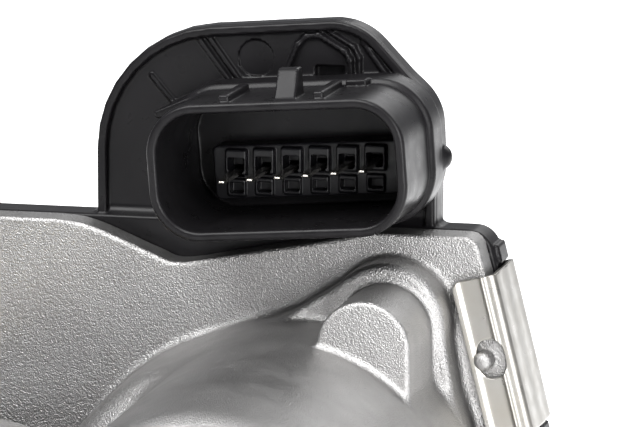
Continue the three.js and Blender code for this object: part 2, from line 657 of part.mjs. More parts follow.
// A round wire wound about the shaft's axis, with a straight leg at each end.
function returnSpring() {
  const turns = 3.5;
  const steps = turns * 14;
  const coilR = 12.2;
  const [y0, y1] = [35.2, 40.4];
  const start = THREE.MathUtils.degToRad(264);
  const end = start + turns * 2 * Math.PI;
  const at = (r, angle, y) => {
    const flat = polar(r, angle);
    return new THREE.Vector3(SHAFT.x + flat.x, y, SHAFT.z + flat.y);
  };
  const points = [at(18.5, start, y0), at(15, start, y0)];
  for (let step = 1; step <= steps; step++) {
    const share = step / steps;
    points.push(at(coilR, start + (end - start) * share, y0 + (y1 - y0) * share));
  }
  points.push(at(15, end, y1), at(18.5, end, y1));
  const path = new THREE.CatmullRomCurve3(points, false, "centripetal");
  const wire = new THREE.Shape();
  wire.absarc(0, 0, 0.6, 0, 2 * Math.PI);
  const sweep = { steps: Math.round(steps * 1.3), curveSegments: 3, extrudePath: path };
  return solid(new THREE.ExtrudeGeometry(wire, { ...sweep, bevelEnabled: false }));
}

// ---- motor ----
const CAN = { r: 19.6, wall: 1.2, back: -31, front: 33.4, hubR: 5.4, hubBack: -35.6 };

function motorCan() {
  const { r, wall, back, front } = CAN;
  const outside = join(rodY(r, back, front, MOTOR, 28), rodY(CAN.hubR, CAN.hubBack, 0, MOTOR, 28));
  const hubRoom = rodY(CAN.hubR - 1, CAN.hubBack + 1, 0, MOTOR, 28);
  return cut(outside, rodY(r - wall, back + 1, front + 1, MOTOR, 28), hubRoom);
}

function motorMagnet(middle) {
  const half = THREE.MathUtils.degToRad(62);
  const outline = new THREE.Shape();
  outline.absarc(0, 0, 18.1, middle - half, middle + half, false);
  outline.absarc(0, 0, 14.8, middle + half, middle - half, true);
  return prismY(outline, -25, 20, 6).translate(MOTOR.x, 0, MOTOR.z);
}

const POLES = 5;

function armatureCore() {
  const degrees = THREE.MathUtils.degToRad;
  // Half of a pole, [radius, angle]: its foot, its neck, and its wide shoe along the air gap.
  const half = [[5.5, 17], [12, 8], [12.6, 31], [14.1, 31], [14.1, 11]];
  const otherHalf = half.map(([r, angle]) => [r, -angle]);
  const pole = [...otherHalf, ...half.reverse()];
  const points = [];
  for (let index = 0; index < POLES; index++) {
    pole.forEach(([r, angle]) => points.push(polar(r, degrees(angle + (360 / POLES) * index))));
  }
  const core = prismY(new THREE.Shape(points), -20, 17).translate(MOTOR.x, 0, MOTOR.z);
  return cut(core, rodY(1.9, -21, 20, MOTOR, 16));
}

function armatureWinding() {
  const degrees = THREE.MathUtils.degToRad;
  const bars = [];
  for (let index = 0; index < POLES; index++) {
    const middle = (360 / POLES) * (index + 0.5);
    const corner = (r, angle) => polar(r, degrees(middle + angle));
    const outline = new THREE.Shape([corner(6.4, -15), corner(11.6, -22), corner(11.6, 22), corner(6.4, 15)]);
    bars.push(prismY(outline, -22, 19).translate(MOTOR.x, 0, MOTOR.z));
  }
  return join(ringY(4.6, 12, -24, -20.3, MOTOR, 24), ringY(4.6, 12, 17.3, 21, MOTOR, 24), ...bars);
}

function commutator() {
  const drum = ringY(1.9, 4.8, 23, 30, MOTOR, 20);
  const grooves = [];
  for (let index = 0; index < POLES; index++) {
    const turn = (360 / POLES) * index;
    grooves.push(box(4.2, 6, 22, 31, -0.25, 0.25).rotate([0, turn, 0]).translate(MOTOR.x, 0, MOTOR.z));
  }
  return cut(drum, ...grooves);
}

function brushHolder() {
  const slots = box(-12, 12, 25, 28, -2.6, 2.6).translate(MOTOR.x, 0, MOTOR.z);
  return cut(ringY(8.2, 18, 25.6, 31, MOTOR, 28), slots);
}

function motorEndPlate() {
  const ear = (spot) => prismY(towardsMotor(spot, 4.1), 33.9, 35.7, 3);
  const disc = rodY(19.4, 33.9, 35.7, MOTOR, 32);
  const screws = [SCREW_TOP, SCREW_LOW].map((spot) => rodY(2.3, 33, 37, spot, 12));
  const blades = [-1, 1].map((side) => {
    const middle = MOTOR.z + side * 6;
    return box(MOTOR.x + 11.2, MOTOR.x + 12.8, 33, 37, middle - 2.6, middle + 2.6);
  });
  return cut(join(disc, ear(SCREW_TOP), ear(SCREW_LOW)), rodY(4.5, 33, 37, MOTOR, 20), ...screws, ...blades);
}

function motorScrew(spot) {
  const seat = 35.7 + GAP;
  const head = cut(rodY(3.6, seat, seat + 2.2, spot, 18), rodY(1.4, seat + 1, seat + 3, spot, 6));
  return join(head, rodY(2, 25.6, seat + 0.5, spot, 12));
}

const motorTerminal = (side) => {
  const middle = MOTOR.z + side * 6;
  return box(MOTOR.x + 11.6, MOTOR.x + 12.4, 31.3, 45, middle - 2.2, middle + 2.2);
};

const WASHER = { inner: 10.5, outer: 15, thick: 0.5, y: -32, swing: 0.5 };

// A flat spring washer, waved three times round.
function waveSpring() {
  const { inner, outer, thick, y, swing } = WASHER;
  const section = [
    new THREE.Vector2(inner, -thick / 2),
    new THREE.Vector2(outer, -thick / 2),
    new THREE.Vector2(outer, thick / 2),
    new THREE.Vector2(inner, thick / 2),
  ];
  const geometry = new THREE.LatheGeometry([...section, section[0]], 30);
  const spots = geometry.attributes.position;
  for (let i = 0; i < spots.count; i++) {
    const angle = Math.atan2(spots.getZ(i), spots.getX(i));
    spots.setY(i, spots.getY(i) + y + swing * Math.cos(3 * angle));
  }
  return solid(geometry.translate(MOTOR.x, 0, MOTOR.z));
}

// ---- the pieces ----
place("housing", housing(), "cast");
place("gear_cover", gearCover(), "blackPlastic");
place("cover_gasket", coverGasket(), "rubber");
place("terminal_block", terminalBlock(), "blockPlastic");
pinPlaces().forEach((spot, index) => place(`terminal_pin_${index + 1}`, terminalPin(spot), "tin"));
clipFrames().forEach((frame, index) => {
  place(`spring_clip_${index + 1}`, onEdge(clipSolid(), frame), "steel");
});

const sealRing = cut(
  rodZ(32.9, ENGINE_Z + 0.1, ENGINE_Z + 2, 0, BORE_Y, 40),
  rodZ(30.5, ENGINE_Z - 1, ENGINE_Z + 3, 0, BORE_Y, 40),
);
place("flange_seal", sealRing, "rubber");
place("bearing_gear_side", ringY(4.65, 7.8, 27.2, 35), "machined");
place("bearing_plug_side", ringY(4.65, 7.8, -43.2, -37.2), "machined");
place("shaft_seal_gear_side", ringY(4.7, 6.8, 25.5, 26.7), "rubber");
place("shaft_seal_plug_side", ringY(4.7, 6.8, -36.7, -35.5), "rubber");
place("bearing_plug", cut(rodY(7.8, -46.3, -44), rodY(5.6, -47, -45)), "steel");
place("return_spring", returnSpring(), "darkSteel");
place("stop_screw", onStop(stopScrewRod(2, 0.3, 11.4)), "steel");
place("gear_pin", rodY(2, 32.3, 52.6, DOUBLE, 24), "steel");
place("sensor_board", join(box(-9, 9, 51.8, 53, 22, 44), box(-3, 3, 50.9, 52, 28, 34)), "board");

// The shaft, plate and screws are drawn closed and turned together to the limp-home position.
const closedParts = new THREE.Group();
const limpHome = new THREE.Group();
limpHome.position.set(SHAFT.x, 0, SHAFT.z);
limpHome.rotation.y = LIMP_HOME;
closedParts.position.set(-SHAFT.x, 0, -SHAFT.z);
limpHome.add(closedParts);
working.add(limpHome);
place("throttle_shaft", throttleShaft(), "machined", closedParts);
place("throttle_plate", throttlePlate(), "machined", closedParts);
SCREW_YS.forEach((y, index) => place(`plate_screw_${index + 1}`, plateScrew(y), "steel", closedParts));
place("sector_gear", sectorGear(), "gearPlastic");
place("sensor_magnet", ringY(1.5, 5.3, 47.9, 50.1, SHAFT, 24), "ferrite");
place("intermediate_gear", doubleGear(), "gearPlastic");

place("motor_can", motorCan(), "darkSteel");
[0, Math.PI].forEach((middle, index) => place(`motor_magnet_${index + 1}`, motorMagnet(middle), "ferrite"));
place("motor_bush_rear", ringY(1.66, 4.1, -34.3, -30.8, MOTOR, 24), "brass");
place("motor_bush_front", ringY(1.66, 4.2, 33.9, 37.4, MOTOR, 24), "brass");
place("motor_end_plate", motorEndPlate(), "steel");
place("motor_screw_1", motorScrew(SCREW_TOP), "steel");
place("motor_screw_2", motorScrew(SCREW_LOW), "steel");
place("brush_holder", brushHolder(), "blockPlastic");
[-1, 1].forEach((side, index) => {
  const brush = box(side > 0 ? 5.2 : -11, side > 0 ? 11 : -5.2, 25.3, 27.7, -2.2, 2.2);
  place(`brush_${index + 1}`, brush.translate(MOTOR.x, 0, MOTOR.z), "ferrite");
  place(`motor_terminal_${index + 1}`, motorTerminal(side), "copper");
});
place("wave_spring", waveSpring(), "steel");
place("motor_shaft", rodY(1.5, -33.6, 52.4, MOTOR, 20), "steel");
place("armature_core", armatureCore(), "darkSteel");
place("armature_winding", armatureWinding(), "copper");
place("commutator", commutator(), "copper");
const pinion = gear(PINION_TEETH, TO_MOTOR + Math.PI + Math.PI / PINION_TEETH, 47.2, 52.2, MOTOR);
place("motor_pinion", cut(pinion, rodY(1.65, 46, 54, MOTOR, 20)), "brass");

const bounds = new THREE.Box3().setFromObject(throttleBody);
const middle = bounds.getCenter(new THREE.Vector3());
working.position.set(-middle.x, -middle.y, -bounds.min.z);

export default throttleBody;
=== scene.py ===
"""Looks for the throttle body: cast housing, moulded cover with its socket, clips, plate and shaft."""

import json
import math

import bpy
import numpy as np
from mathutils import Matrix, Vector


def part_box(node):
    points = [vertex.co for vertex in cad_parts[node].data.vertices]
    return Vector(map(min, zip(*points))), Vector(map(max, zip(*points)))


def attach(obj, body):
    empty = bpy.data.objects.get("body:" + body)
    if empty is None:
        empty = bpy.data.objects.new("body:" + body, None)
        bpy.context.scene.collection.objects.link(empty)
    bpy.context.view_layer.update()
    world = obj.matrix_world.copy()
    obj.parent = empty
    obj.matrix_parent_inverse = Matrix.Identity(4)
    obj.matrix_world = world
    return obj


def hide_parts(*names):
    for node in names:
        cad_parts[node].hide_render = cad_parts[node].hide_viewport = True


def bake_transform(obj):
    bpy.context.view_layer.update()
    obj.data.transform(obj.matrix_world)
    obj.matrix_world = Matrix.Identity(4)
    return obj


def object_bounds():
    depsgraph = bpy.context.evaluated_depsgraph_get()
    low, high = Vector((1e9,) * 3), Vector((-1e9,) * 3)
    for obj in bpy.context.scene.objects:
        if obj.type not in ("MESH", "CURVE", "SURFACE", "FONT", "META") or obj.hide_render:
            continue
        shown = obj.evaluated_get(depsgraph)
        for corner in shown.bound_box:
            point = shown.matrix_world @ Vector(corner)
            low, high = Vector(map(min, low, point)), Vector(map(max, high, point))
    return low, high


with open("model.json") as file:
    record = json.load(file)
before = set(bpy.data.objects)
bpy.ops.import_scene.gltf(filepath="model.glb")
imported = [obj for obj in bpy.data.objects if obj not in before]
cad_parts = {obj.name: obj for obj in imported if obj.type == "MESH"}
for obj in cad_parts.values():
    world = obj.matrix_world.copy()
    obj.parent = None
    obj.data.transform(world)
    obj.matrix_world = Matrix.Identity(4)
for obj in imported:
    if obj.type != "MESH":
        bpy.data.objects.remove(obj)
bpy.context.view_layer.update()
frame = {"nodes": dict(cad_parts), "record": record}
SLOT_OF = {part["node"]: part["material_slot"] for part in frame["record"]["subparts"]}

# ---- the working frame: millimetres, bore axis along Z at X = 0, Y = BORE_Y ----
BORE_Y = -6.0
BORE = (0.0, BORE_Y)  # in X and Y
BORE_R = 28.0
BARREL_R = 32.2
ENGINE_Z = -5.0  # face of the engine flange
FLANGE_TOP = 3.0
INLET_Z = 58.0
SHAFT_Z = 31.0
SHAFT = (0.0, SHAFT_Z)  # in X and Z, like every axis below
SHAFT_R = 4.5
LIMP_HOME = math.radians(7)
PLATE_SCREWS_Y = (-19, 7)
WALL = 31.0  # front face of the case wall
INTO_WALL = WALL + 1  # where a rib or boss ends inside the wall
CASE_FLOOR = 33.6
CASE_FACE = 36.0
RIM_FRONT = 36.3
RIM_BACK = 42.0
ROOF = 53.6
COVER_BACK = 56.0
MOTOR = (56.0, 50.0)
MOTOR_CAST = (58.5, 48.8)  # axis of the casting round the motor
SHOULDER = (52.0, 41.0)  # axis of the wide shoulder that it stands on
DOUBLE = (29.0734, 42.3215)  # axis of the double gear
SCREW_TOP = (70.0, 73.0)
SCREW_LOW = (42.4, 29.6)
BOLTS = (24.0, 29.0)  # half the distances between the flange's bolts
SOCKET = (56.5, 96.0)
SOCKET_TILT = math.radians(4.2)
SOCKET_RIM = 16.0
SOCKET_FLOOR = 37.7
EAR_FRONT = 38.0
EAR_BACK = 41.5
PIN_PITCH = 4.0
PIN_Z = 93.8
PIN_TILT = math.radians(6.6)

# Outlines are corners as (x, z, radius), counter-clockwise from the lower left.
CASE = [
    (-33.6, 19.9, 9), (-9.5, -4.2, 9), (78.5, 19, 12), (90, 52.7, 12), (81.8, 85.3, 3.4), (-24, 85.3, 9),
]
CAST_CORNER = (81.2, 85.3, 2.2)  # the casting's own, sharper corner beside the socket
SEAL_TOP = [(65, 85.3, 5), (52, 78.5, 5), (-24.9, 78.5, 9)]  # the seal passes below the dip under the ear
CLIP_PLACES = [(3, 0.5), (4, 0.8), (5, 0.4), (0, 0.505), (1, 0.79)]  # edge of CASE, share along it
CLIP_HALF = 11.45
TOP_CLIP = 1  # the clip on the long top edge has no stops beside it

low, high = (np.array(corner) * 1000 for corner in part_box("flange_seal"))
housing_low = np.array(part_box("housing")[0]) * 1000
SHIFT = np.array([(low[0] + high[0]) / 2, (low[1] + high[1]) / 2 - BORE_Y, housing_low[2] - ENGINE_Z])


def row(x, y, z):
    """A point of the working frame, in metres of the row frame."""
    return Vector(((x + SHIFT[0]) / 1000, (y + SHIFT[1]) / 1000, (z + SHIFT[2]) / 1000))


# ---- signed distances, negative inside; in each shape the last r rounds its edges ----
def both(a, b, r=0.0):
    """Where two solids meet; r rounds the edge."""
    if r <= 0:
        return np.maximum(a, b)
    corner = np.sqrt(np.maximum(a + r, 0) ** 2 + np.maximum(b + r, 0) ** 2)
    return corner + np.minimum(np.maximum(a, b) + r, 0) - r


def either(a, b, r=0.0):
    """Two solids joined; r is the fillet between them."""
    return np.minimum(a, b) if r <= 0 else -both(-a, -b, r)


def without(a, b, r=0.0):
    return both(a, -b, r)


def band(value, start, end):
    """The layer between two values."""
    return np.abs(value - (start + end) / 2) - (end - start) / 2


def rod_y(spot, radius, y0, y1, r=0.0):
    return lambda x, y, z: both(np.hypot(x - spot[0], z - spot[1]) - radius, band(y, y0, y1), r)


def rod_z(spot, radius, z0, z1, r=0.0):
    return lambda x, y, z: both(np.hypot(x - spot[0], y - spot[1]) - radius, band(z, z0, z1), r)


def cone_y(spot, start, end, r=0.0):
    """A rod along Y whose radius changes from start = (y, radius) to end."""
    (y0, r0), (y1, r1) = start, end
    lean = (r1 - r0) / (y1 - y0)
    scale = 1 / math.hypot(1, lean)

    def value(x, y, z):
        side = (np.hypot(x - spot[0], z - spot[1]) - r0 - lean * (y - y0)) * scale
        return both(side, band(y, y0, y1), r)

    return value


def block(x0, x1, y0, y1, z0, z1, r=0.0):
    def value(x, y, z):
        return both(both(band(x, x0, x1), band(z, z0, z1), r), band(y, y0, y1), r)

    return value


def slab(a, b, radius, y0, y1, r=0.0):
    """A bar with round ends between two points of X and Z, from y0 to y1."""
    ax, az = a
    dx, dz = b[0] - ax, b[1] - az
    length2 = dx * dx + dz * dz

    def value(x, y, z):
        along = np.clip(((x - ax) * dx + (z - az) * dz) / length2, 0, 1)
        side = np.hypot(x - ax - along * dx, z - az - along * dz) - radius
        return both(side, band(y, y0, y1), r)

    return value


def around(spot, reach, y0, y1):
    """The box from y0 to y1 round a spot of X and Z."""
    x, z = spot
    return (x - reach, x + reach), (y0, y1), (z - reach, z + reach)


def turned(shape, spot, angle):
    """A shape drawn at the origin of X and Z, turned about Y and moved to its spot."""
    c, s = math.cos(angle), math.sin(angle)

    def value(x, y, z):
        dx, dz = x - spot[0], z - spot[1]
        return shape(dx * c + dz * s, y, dz * c - dx * s)

    return value


def rounded(u, v, corner):
    """A rounded rectangle; u and v are how far a point lies beyond its corners' centres."""
    return np.hypot(np.maximum(u, 0), np.maximum(v, 0)) + np.minimum(np.maximum(u, v), 0) - corner


def rounded_box(width, height, corner, y0, y1, r=0.0):
    """A block about the origin of X and Z with its four upright corners rounded."""

    def value(x, y, z):
        side = rounded(np.abs(x) - width / 2 + corner, np.abs(z) - height / 2 + corner, corner)
        return both(side, band(y, y0, y1), r)

    return value


def rounded_outline(corners):
    """The points of a closed outline with its corners rounded."""
    points = []
    count = len(corners)
    for index, (x, z, radius) in enumerate(corners):
        here = np.array([x, z], float)
        back = np.array(corners[index - 1][:2]) - here
        ahead = np.array(corners[(index + 1) % count][:2]) - here
        back, ahead = back / np.hypot(*back), ahead / np.hypot(*ahead)
        half = math.acos(float(back @ ahead)) / 2
        inward = (back + ahead) / np.hypot(*(back + ahead))
        centre = here + inward * radius / math.sin(half)
        start = here + back * radius / math.tan(half) - centre
        end = here + ahead * radius / math.tan(half) - centre
        a0, a1 = math.atan2(start[1], start[0]), math.atan2(end[1], end[0])
        sweep = (a1 - a0 + math.pi) % (2 * math.pi) - math.pi
        for step in range(9):
            angle = a0 + sweep * step / 8
            points.append(centre + radius * np.array([math.cos(angle), math.sin(angle)]))
    return np.array(points)


TABLE_STEP = 0.4
FAR = 50.0  # a field's value before any shape is added
MARGIN = 1.5  # how far past its box and its fillet a shape still acts


class Outline:
    """Signed distance to a closed outline in X and Z, kept in a table."""

    def __init__(self, points, margin=10.0):
        points = np.asarray(points, float)
        self.low = points.min(0) - margin
        size = np.ceil((points.max(0) + margin - self.low) / TABLE_STEP).astype(int) + 2
        gx = self.low[0] + TABLE_STEP * np.arange(size[0])[:, None]
        gz = self.low[1] + TABLE_STEP * np.arange(size[1])[None, :]
        best = np.full(size, 1e9)
        inside = np.zeros(size, bool)
        for (ax, az), (bx, bz) in zip(points, np.roll(points, -1, 0)):
            dx, dz = bx - ax, bz - az
            length2 = dx * dx + dz * dz
            if length2 < 1e-12:
                continue
            along = np.clip(((gx - ax) * dx + (gz - az) * dz) / length2, 0, 1)
            best = np.minimum(best, (gx - ax - along * dx) ** 2 + (gz - az - along * dz) ** 2)
            if az != bz:
                spans = (gz >= min(az, bz)) & (gz < max(az, bz))
                inside ^= spans & (gx < ax + (gz - az) * dx / dz)
        self.table = np.where(inside, -1, 1) * np.sqrt(best)

    def __call__(self, x, z):
        last = np.array(self.table.shape) - 1.001
        u = np.clip((x - self.low[0]) / TABLE_STEP, 0, last[0])
        v = np.clip((z - self.low[1]) / TABLE_STEP, 0, last[1])
        i, j = u.astype(int), v.astype(int)
        fu, fv = u - i, v - j
        t = self.table
        near = t[i, j] * (1 - fu) + t[i + 1, j] * fu
        far = t[i, j + 1] * (1 - fu) + t[i + 1, j + 1] * fu
        return near * (1 - fv) + far * fv

    def prism(self, y0, y1, r=0.0, inset=0.0):
        return lambda x, y, z: both(self(x, z) + inset, band(y, y0, y1), r)


class Solid:
    """Shapes joined and cut in order. Each shape acts only inside its own box when a grid is filled."""

    def __init__(self):
        self.steps = []

    def add(self, shape, box, r=0.0):
        self.steps.append((either, shape, box, r))

    def cut(self, shape, box, r=0.0):
        self.steps.append((without, shape, box, r))

    def on_grid(self, axes):
        """The signed distance at each point of a grid."""
        field = np.full([len(axis) for axis in axes], FAR, np.float32)
        for how, shape, box, r in self.steps:
            spans = []
            for axis, (start, end) in zip(axes, box):
                pad = r + MARGIN
                first, last = np.searchsorted(axis, [start - pad, end + pad])
                spans.append(slice(first, last))
            x, y, z = (axis[span] for axis, span in zip(axes, spans))
            if min(len(x), len(y), len(z)) == 0:
                continue
            value = shape(x[:, None, None], y[None, :, None], z[None, None, :])
            view = tuple(spans)
            field[view] = how(field[view], value, r)
        return field

    def at(self, points):
        """The signed distance at scattered points."""
        x, y, z = points.T
        value = np.full(len(points), FAR)
        for how, shape, box, r in self.steps:
            pad = r + MARGIN
            near = np.ones(len(points), bool)
            for coordinate, (start, end) in zip((x, y, z), box):
                near &= (coordinate > start - pad) & (coordinate < end + pad)
            if near.any():
                value[near] = how(value[near], shape(x[near], y[near], z[near]), r)
        return value


def spaced(*stops):
    """Grid lines along one axis: start, then pairs of (end, spacing)."""
    start, pairs = stops[0], stops[1:]
    lines = [np.array([start])]
    for end, spacing in pairs:
        count = max(1, round((end - start) / spacing))
        lines.append(np.linspace(start, end, count + 1)[1:])
        start = end
    return np.concatenate(lines)


SETTLE_ROUNDS = 3
SETTLE_REACH = 0.45  # the share of a cell that a vertex may move in one round


def skin(solid, axes):
    """Vertices and quads of the solid's surface: one vertex in each grid cell that the surface crosses,
    then moved onto the surface."""
    field = solid.on_grid(axes)
    shape = field.shape
    all_cells, all_spots, all_quads = [], [], []
    for axis in range(3):
        start, end = [slice(None)] * 3, [slice(None)] * 3
        start[axis], end[axis] = slice(0, -1), slice(1, None)
        a, b = field[tuple(start)], field[tuple(end)]
        where = np.nonzero((a < 0) != (b < 0))
        base = np.stack(where, 1)
        va, vb = a[where].astype(float), b[where].astype(float)
        spot = base.astype(float)
        spot[:, axis] += va / (va - vb)
        u, v = (axis + 1) % 3, (axis + 2) % 3
        cells = []
        for du, dv in ((0, 0), (-1, 0), (-1, -1), (0, -1)):
            cell = base.copy()
            cell[:, u] += du
            cell[:, v] += dv
            cells.append(np.ravel_multi_index(cell.T, shape))
        cells = np.stack(cells, 1)
        all_cells.append(cells.ravel())
        all_spots.append(np.repeat(spot, 4, 0))
        all_quads.append(np.where((va < 0)[:, None], cells, cells[:, ::-1]))
    cells = np.concatenate(all_cells)
    spots = np.concatenate(all_spots)
    names, inverse = np.unique(cells, return_inverse=True)
    counts = np.bincount(inverse)
    index = np.stack([np.bincount(inverse, spots[:, k]) / counts for k in range(3)], 1)
    points = np.stack([np.interp(index[:, k], np.arange(shape[k]), axes[k]) for k in range(3)], 1)
    quads = np.searchsorted(names, np.concatenate(all_quads))
    reach = [np.interp(index[:, k], np.arange(shape[k] - 1) + 0.5, np.diff(axes[k])) for k in range(3)]
    reach = SETTLE_REACH * np.stack(reach, 1)
    for _ in range(SETTLE_ROUNDS):
        value = solid.at(points)
        slope = gradient(solid, points, value)
        move = -slope * (value / np.maximum((slope**2).sum(1), 0.2))[:, None]
        points = points + np.clip(move, -reach, reach)
    return points, quads


def gradient(solid, points, value, step=0.03):
    slope = np.empty_like(points)
    for axis in range(3):
        moved = points.copy()
        moved[:, axis] += step
        slope[:, axis] = (solid.at(moved) - value) / step
    return slope


def normals_at(solid, points, step):
    slope = gradient(solid, points, solid.at(points), step)
    return slope / np.maximum(np.linalg.norm(slope, axis=1), 1e-6)[:, None]


def mesh_object(name, points, faces, material):
    """A smooth mesh object from points in the working frame."""
    mesh = bpy.data.meshes.new(name)
    where = (points + SHIFT) / 1000
    mesh.vertices.add(len(where))
    mesh.vertices.foreach_set("co", where.astype(np.float32).ravel())
    corners = faces.shape[1]
    mesh.loops.add(faces.size)
    mesh.loops.foreach_set("vertex_index", faces.ravel().astype(np.int32))
    mesh.polygons.add(len(faces))
    mesh.polygons.foreach_set("loop_start", np.arange(0, faces.size, corners, dtype=np.int32))
    mesh.polygons.foreach_set("loop_total", np.full(len(faces), corners, np.int32))
    mesh.update(calc_edges=True)
    mesh.validate()
    mesh.shade_smooth()
    mesh.materials.append(material)
    made = bpy.data.objects.new(name, mesh)
    bpy.context.scene.collection.objects.link(made)
    return made


def thin_out(made, most):
    """Fewer faces where the surface is plain, when there are more than most triangles."""
    triangles = 2 * len(made.data.polygons)
    if triangles <= most:
        return
    step = made.modifiers.new("thin", "DECIMATE")
    step.ratio = most / triangles
    depsgraph = bpy.context.evaluated_depsgraph_get()
    plain = bpy.data.meshes.new_from_object(made.evaluated_get(depsgraph))
    made.modifiers.clear()
    old = made.data
    made.data = plain
    bpy.data.meshes.remove(old)


def true_normals(made, solid):
    """Normals from the solid itself, so that thinned faces still shade as its surface."""
    mesh = made.data
    points = np.empty(3 * len(mesh.vertices), np.float32)
    mesh.vertices.foreach_get("co", points)
    points = points.reshape(-1, 3).astype(float) * 1000 - SHIFT
    mesh.normals_split_custom_set_from_vertices(normals_at(solid, points, 0.1).astype(np.float32))


MOST_TRIANGLES = 190000


def sculpt(name, solid, axes, material):
    """A mesh object of the solid, in at most MOST_TRIANGLES."""
    points, quads = skin(solid, axes)
    made = mesh_object(name, points, quads, material)
    thin_out(made, MOST_TRIANGLES)
    true_normals(made, solid)
    return made


def stand_for(piece, body, *nodes):
    """The piece is shown in place of the CAD nodes and moves with their body."""
    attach(piece, body)
    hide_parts(*nodes)


# ---- finishes ----
def finish(name, colour, metallic, roughness, marks=None, grain=None, fine=None, uneven=0.0, **sockets):
    """A material whose colour, roughness and bump come from noise; sizes are in millimetres.

    marks = (size, second colour, share) blends a second colour in soft patches.
    grain and fine = (size, depth) are two layers of bump.
    """
    material = bpy.data.materials.new(name)
    material.use_nodes = True
    tree = material.node_tree
    shader = tree.nodes["Principled BSDF"]
    shader.inputs["Base Color"].default_value = (*colour, 1)
    shader.inputs["Metallic"].default_value = metallic
    shader.inputs["Roughness"].default_value = roughness
    for socket, value in sockets.items():
        shader.inputs[socket.replace("_", " ")].default_value = value
    where = tree.nodes.new("ShaderNodeTexCoord").outputs["Object"]

    def noise(size, detail=3.0):
        made = tree.nodes.new("ShaderNodeTexNoise")
        made.inputs["Scale"].default_value = 1000 / size
        made.inputs["Detail"].default_value = detail
        tree.links.new(where, made.inputs["Vector"])
        return made.outputs["Fac"]

    if marks:
        size, second, share = marks
        ramp = tree.nodes.new("ShaderNodeMapRange")
        ramp.inputs["From Min"].default_value = 0.5 - share
        ramp.inputs["From Max"].default_value = 0.5 + share
        tree.links.new(noise(size, 5.0), ramp.inputs["Value"])
        blend = tree.nodes.new("ShaderNodeMix")
        blend.data_type = "RGBA"
        blend.inputs["A"].default_value = (*colour, 1)
        blend.inputs["B"].default_value = (*second, 1)
        tree.links.new(ramp.outputs["Result"], blend.inputs["Factor"])
        tree.links.new(blend.outputs["Result"], shader.inputs["Base Color"])
    if uneven:
        spread = tree.nodes.new("ShaderNodeMapRange")
        spread.inputs["From Min"].default_value = 0.3
        spread.inputs["From Max"].default_value = 0.7
        spread.inputs["To Min"].default_value = roughness - uneven
        spread.inputs["To Max"].default_value = roughness + uneven
        tree.links.new(noise(marks[0] / 2 if marks else 2.0), spread.inputs["Value"])
        tree.links.new(spread.outputs["Result"], shader.inputs["Roughness"])
    normal = None
    for layer in (grain, fine):
        if not layer:
            continue
        size, depth = layer
        bump = tree.nodes.new("ShaderNodeBump")
        bump.inputs["Distance"].default_value = depth / 1000
        tree.links.new(noise(size, 2.0), bump.inputs["Height"])
        if normal:
            tree.links.new(normal, bump.inputs["Normal"])
        normal = bump.outputs["Normal"]
    if normal:
        tree.links.new(normal, shader.inputs["Normal"])
    return material


FINISH = {
    "cast_aluminium": finish(
        "cast_aluminium", (0.365, 0.36, 0.356), 1.0, 0.37,
        marks=(9.0, (0.295, 0.29, 0.287), 0.3), grain=(0.42, 0.085), fine=(0.2, 0.15), uneven=0.06,
    ),
    "black_plastic": finish(
        "black_plastic", (0.005, 0.0047, 0.0051), 0.0, 0.31,
        marks=(6.0, (0.008, 0.0075, 0.0085), 0.25), grain=(1.6, 0.012), fine=(0.15, 0.004), uneven=0.05,
        Specular_IOR_Level=0.15,
    ),
    "block_plastic": finish(
        "block_plastic", (0.005, 0.005, 0.006), 0.0, 0.36, marks=(3.0, (0.008, 0.0075, 0.009), 0.25),
        grain=(0.8, 0.01), uneven=0.05, Specular_IOR_Level=0.28,
    ),
    "gear_plastic": finish(
        "gear_plastic", (0.72, 0.67, 0.55), 0.0, 0.5, marks=(5.0, (0.66, 0.6, 0.47), 0.3), grain=(0.6, 0.01),
    ),
    "rubber": finish(
        "rubber", (0.012, 0.012, 0.013), 0.0, 0.72, marks=(3.0, (0.02, 0.02, 0.021), 0.3), grain=(0.3, 0.02),
    ),
    "spring_steel": finish(
        "spring_steel", (0.4, 0.392, 0.375), 1.0, 0.32, marks=(4.0, (0.36, 0.342, 0.305), 0.35),
        grain=(1.6, 0.01), uneven=0.05,
    ),
    "bearing_steel": finish(
        "bearing_steel", (0.6, 0.6, 0.61), 1.0, 0.24, marks=(3.0, (0.52, 0.52, 0.53), 0.3),
        grain=(0.25, 0.006), uneven=0.06,
    ),
    "zinc_steel": finish(
        "zinc_steel", (0.56, 0.56, 0.575), 1.0, 0.34, marks=(1.5, (0.46, 0.47, 0.5), 0.3),
        grain=(0.3, 0.01), uneven=0.07,
    ),
    "dark_steel": finish(
        "dark_steel", (0.13, 0.13, 0.14), 1.0, 0.4, marks=(3.0, (0.09, 0.085, 0.085), 0.3),
        grain=(0.4, 0.012), uneven=0.08,
    ),
    "plate_brass": finish(
        "plate_brass", (0.6, 0.49, 0.28), 1.0, 0.4, marks=(7.0, (0.52, 0.41, 0.22), 0.3),
        grain=(0.8, 0.006), uneven=0.04,
    ),
    "bronze": finish(
        "bronze", (0.5, 0.36, 0.17), 1.0, 0.42, marks=(0.8, (0.4, 0.27, 0.12), 0.3), grain=(0.2, 0.02),
    ),
    "copper": finish(
        "copper", (0.62, 0.29, 0.16), 1.0, 0.34, marks=(1.5, (0.48, 0.2, 0.1), 0.3), grain=(0.5, 0.02),
    ),
    "tin": finish(
        "tin", (0.8, 0.77, 0.72), 1.0, 0.22, marks=(1.0, (0.7, 0.66, 0.6), 0.3), grain=(0.3, 0.004),
    ),
    "ferrite": finish(
        "ferrite", (0.05, 0.05, 0.055), 0.2, 0.6, marks=(1.0, (0.03, 0.03, 0.032), 0.3), grain=(0.2, 0.02),
    ),
    "circuit_board": finish(
        "circuit_board", (0.02, 0.09, 0.045), 0.0, 0.4, marks=(2.0, (0.03, 0.12, 0.06), 0.1),
        grain=(0.5, 0.02),
    ),
}

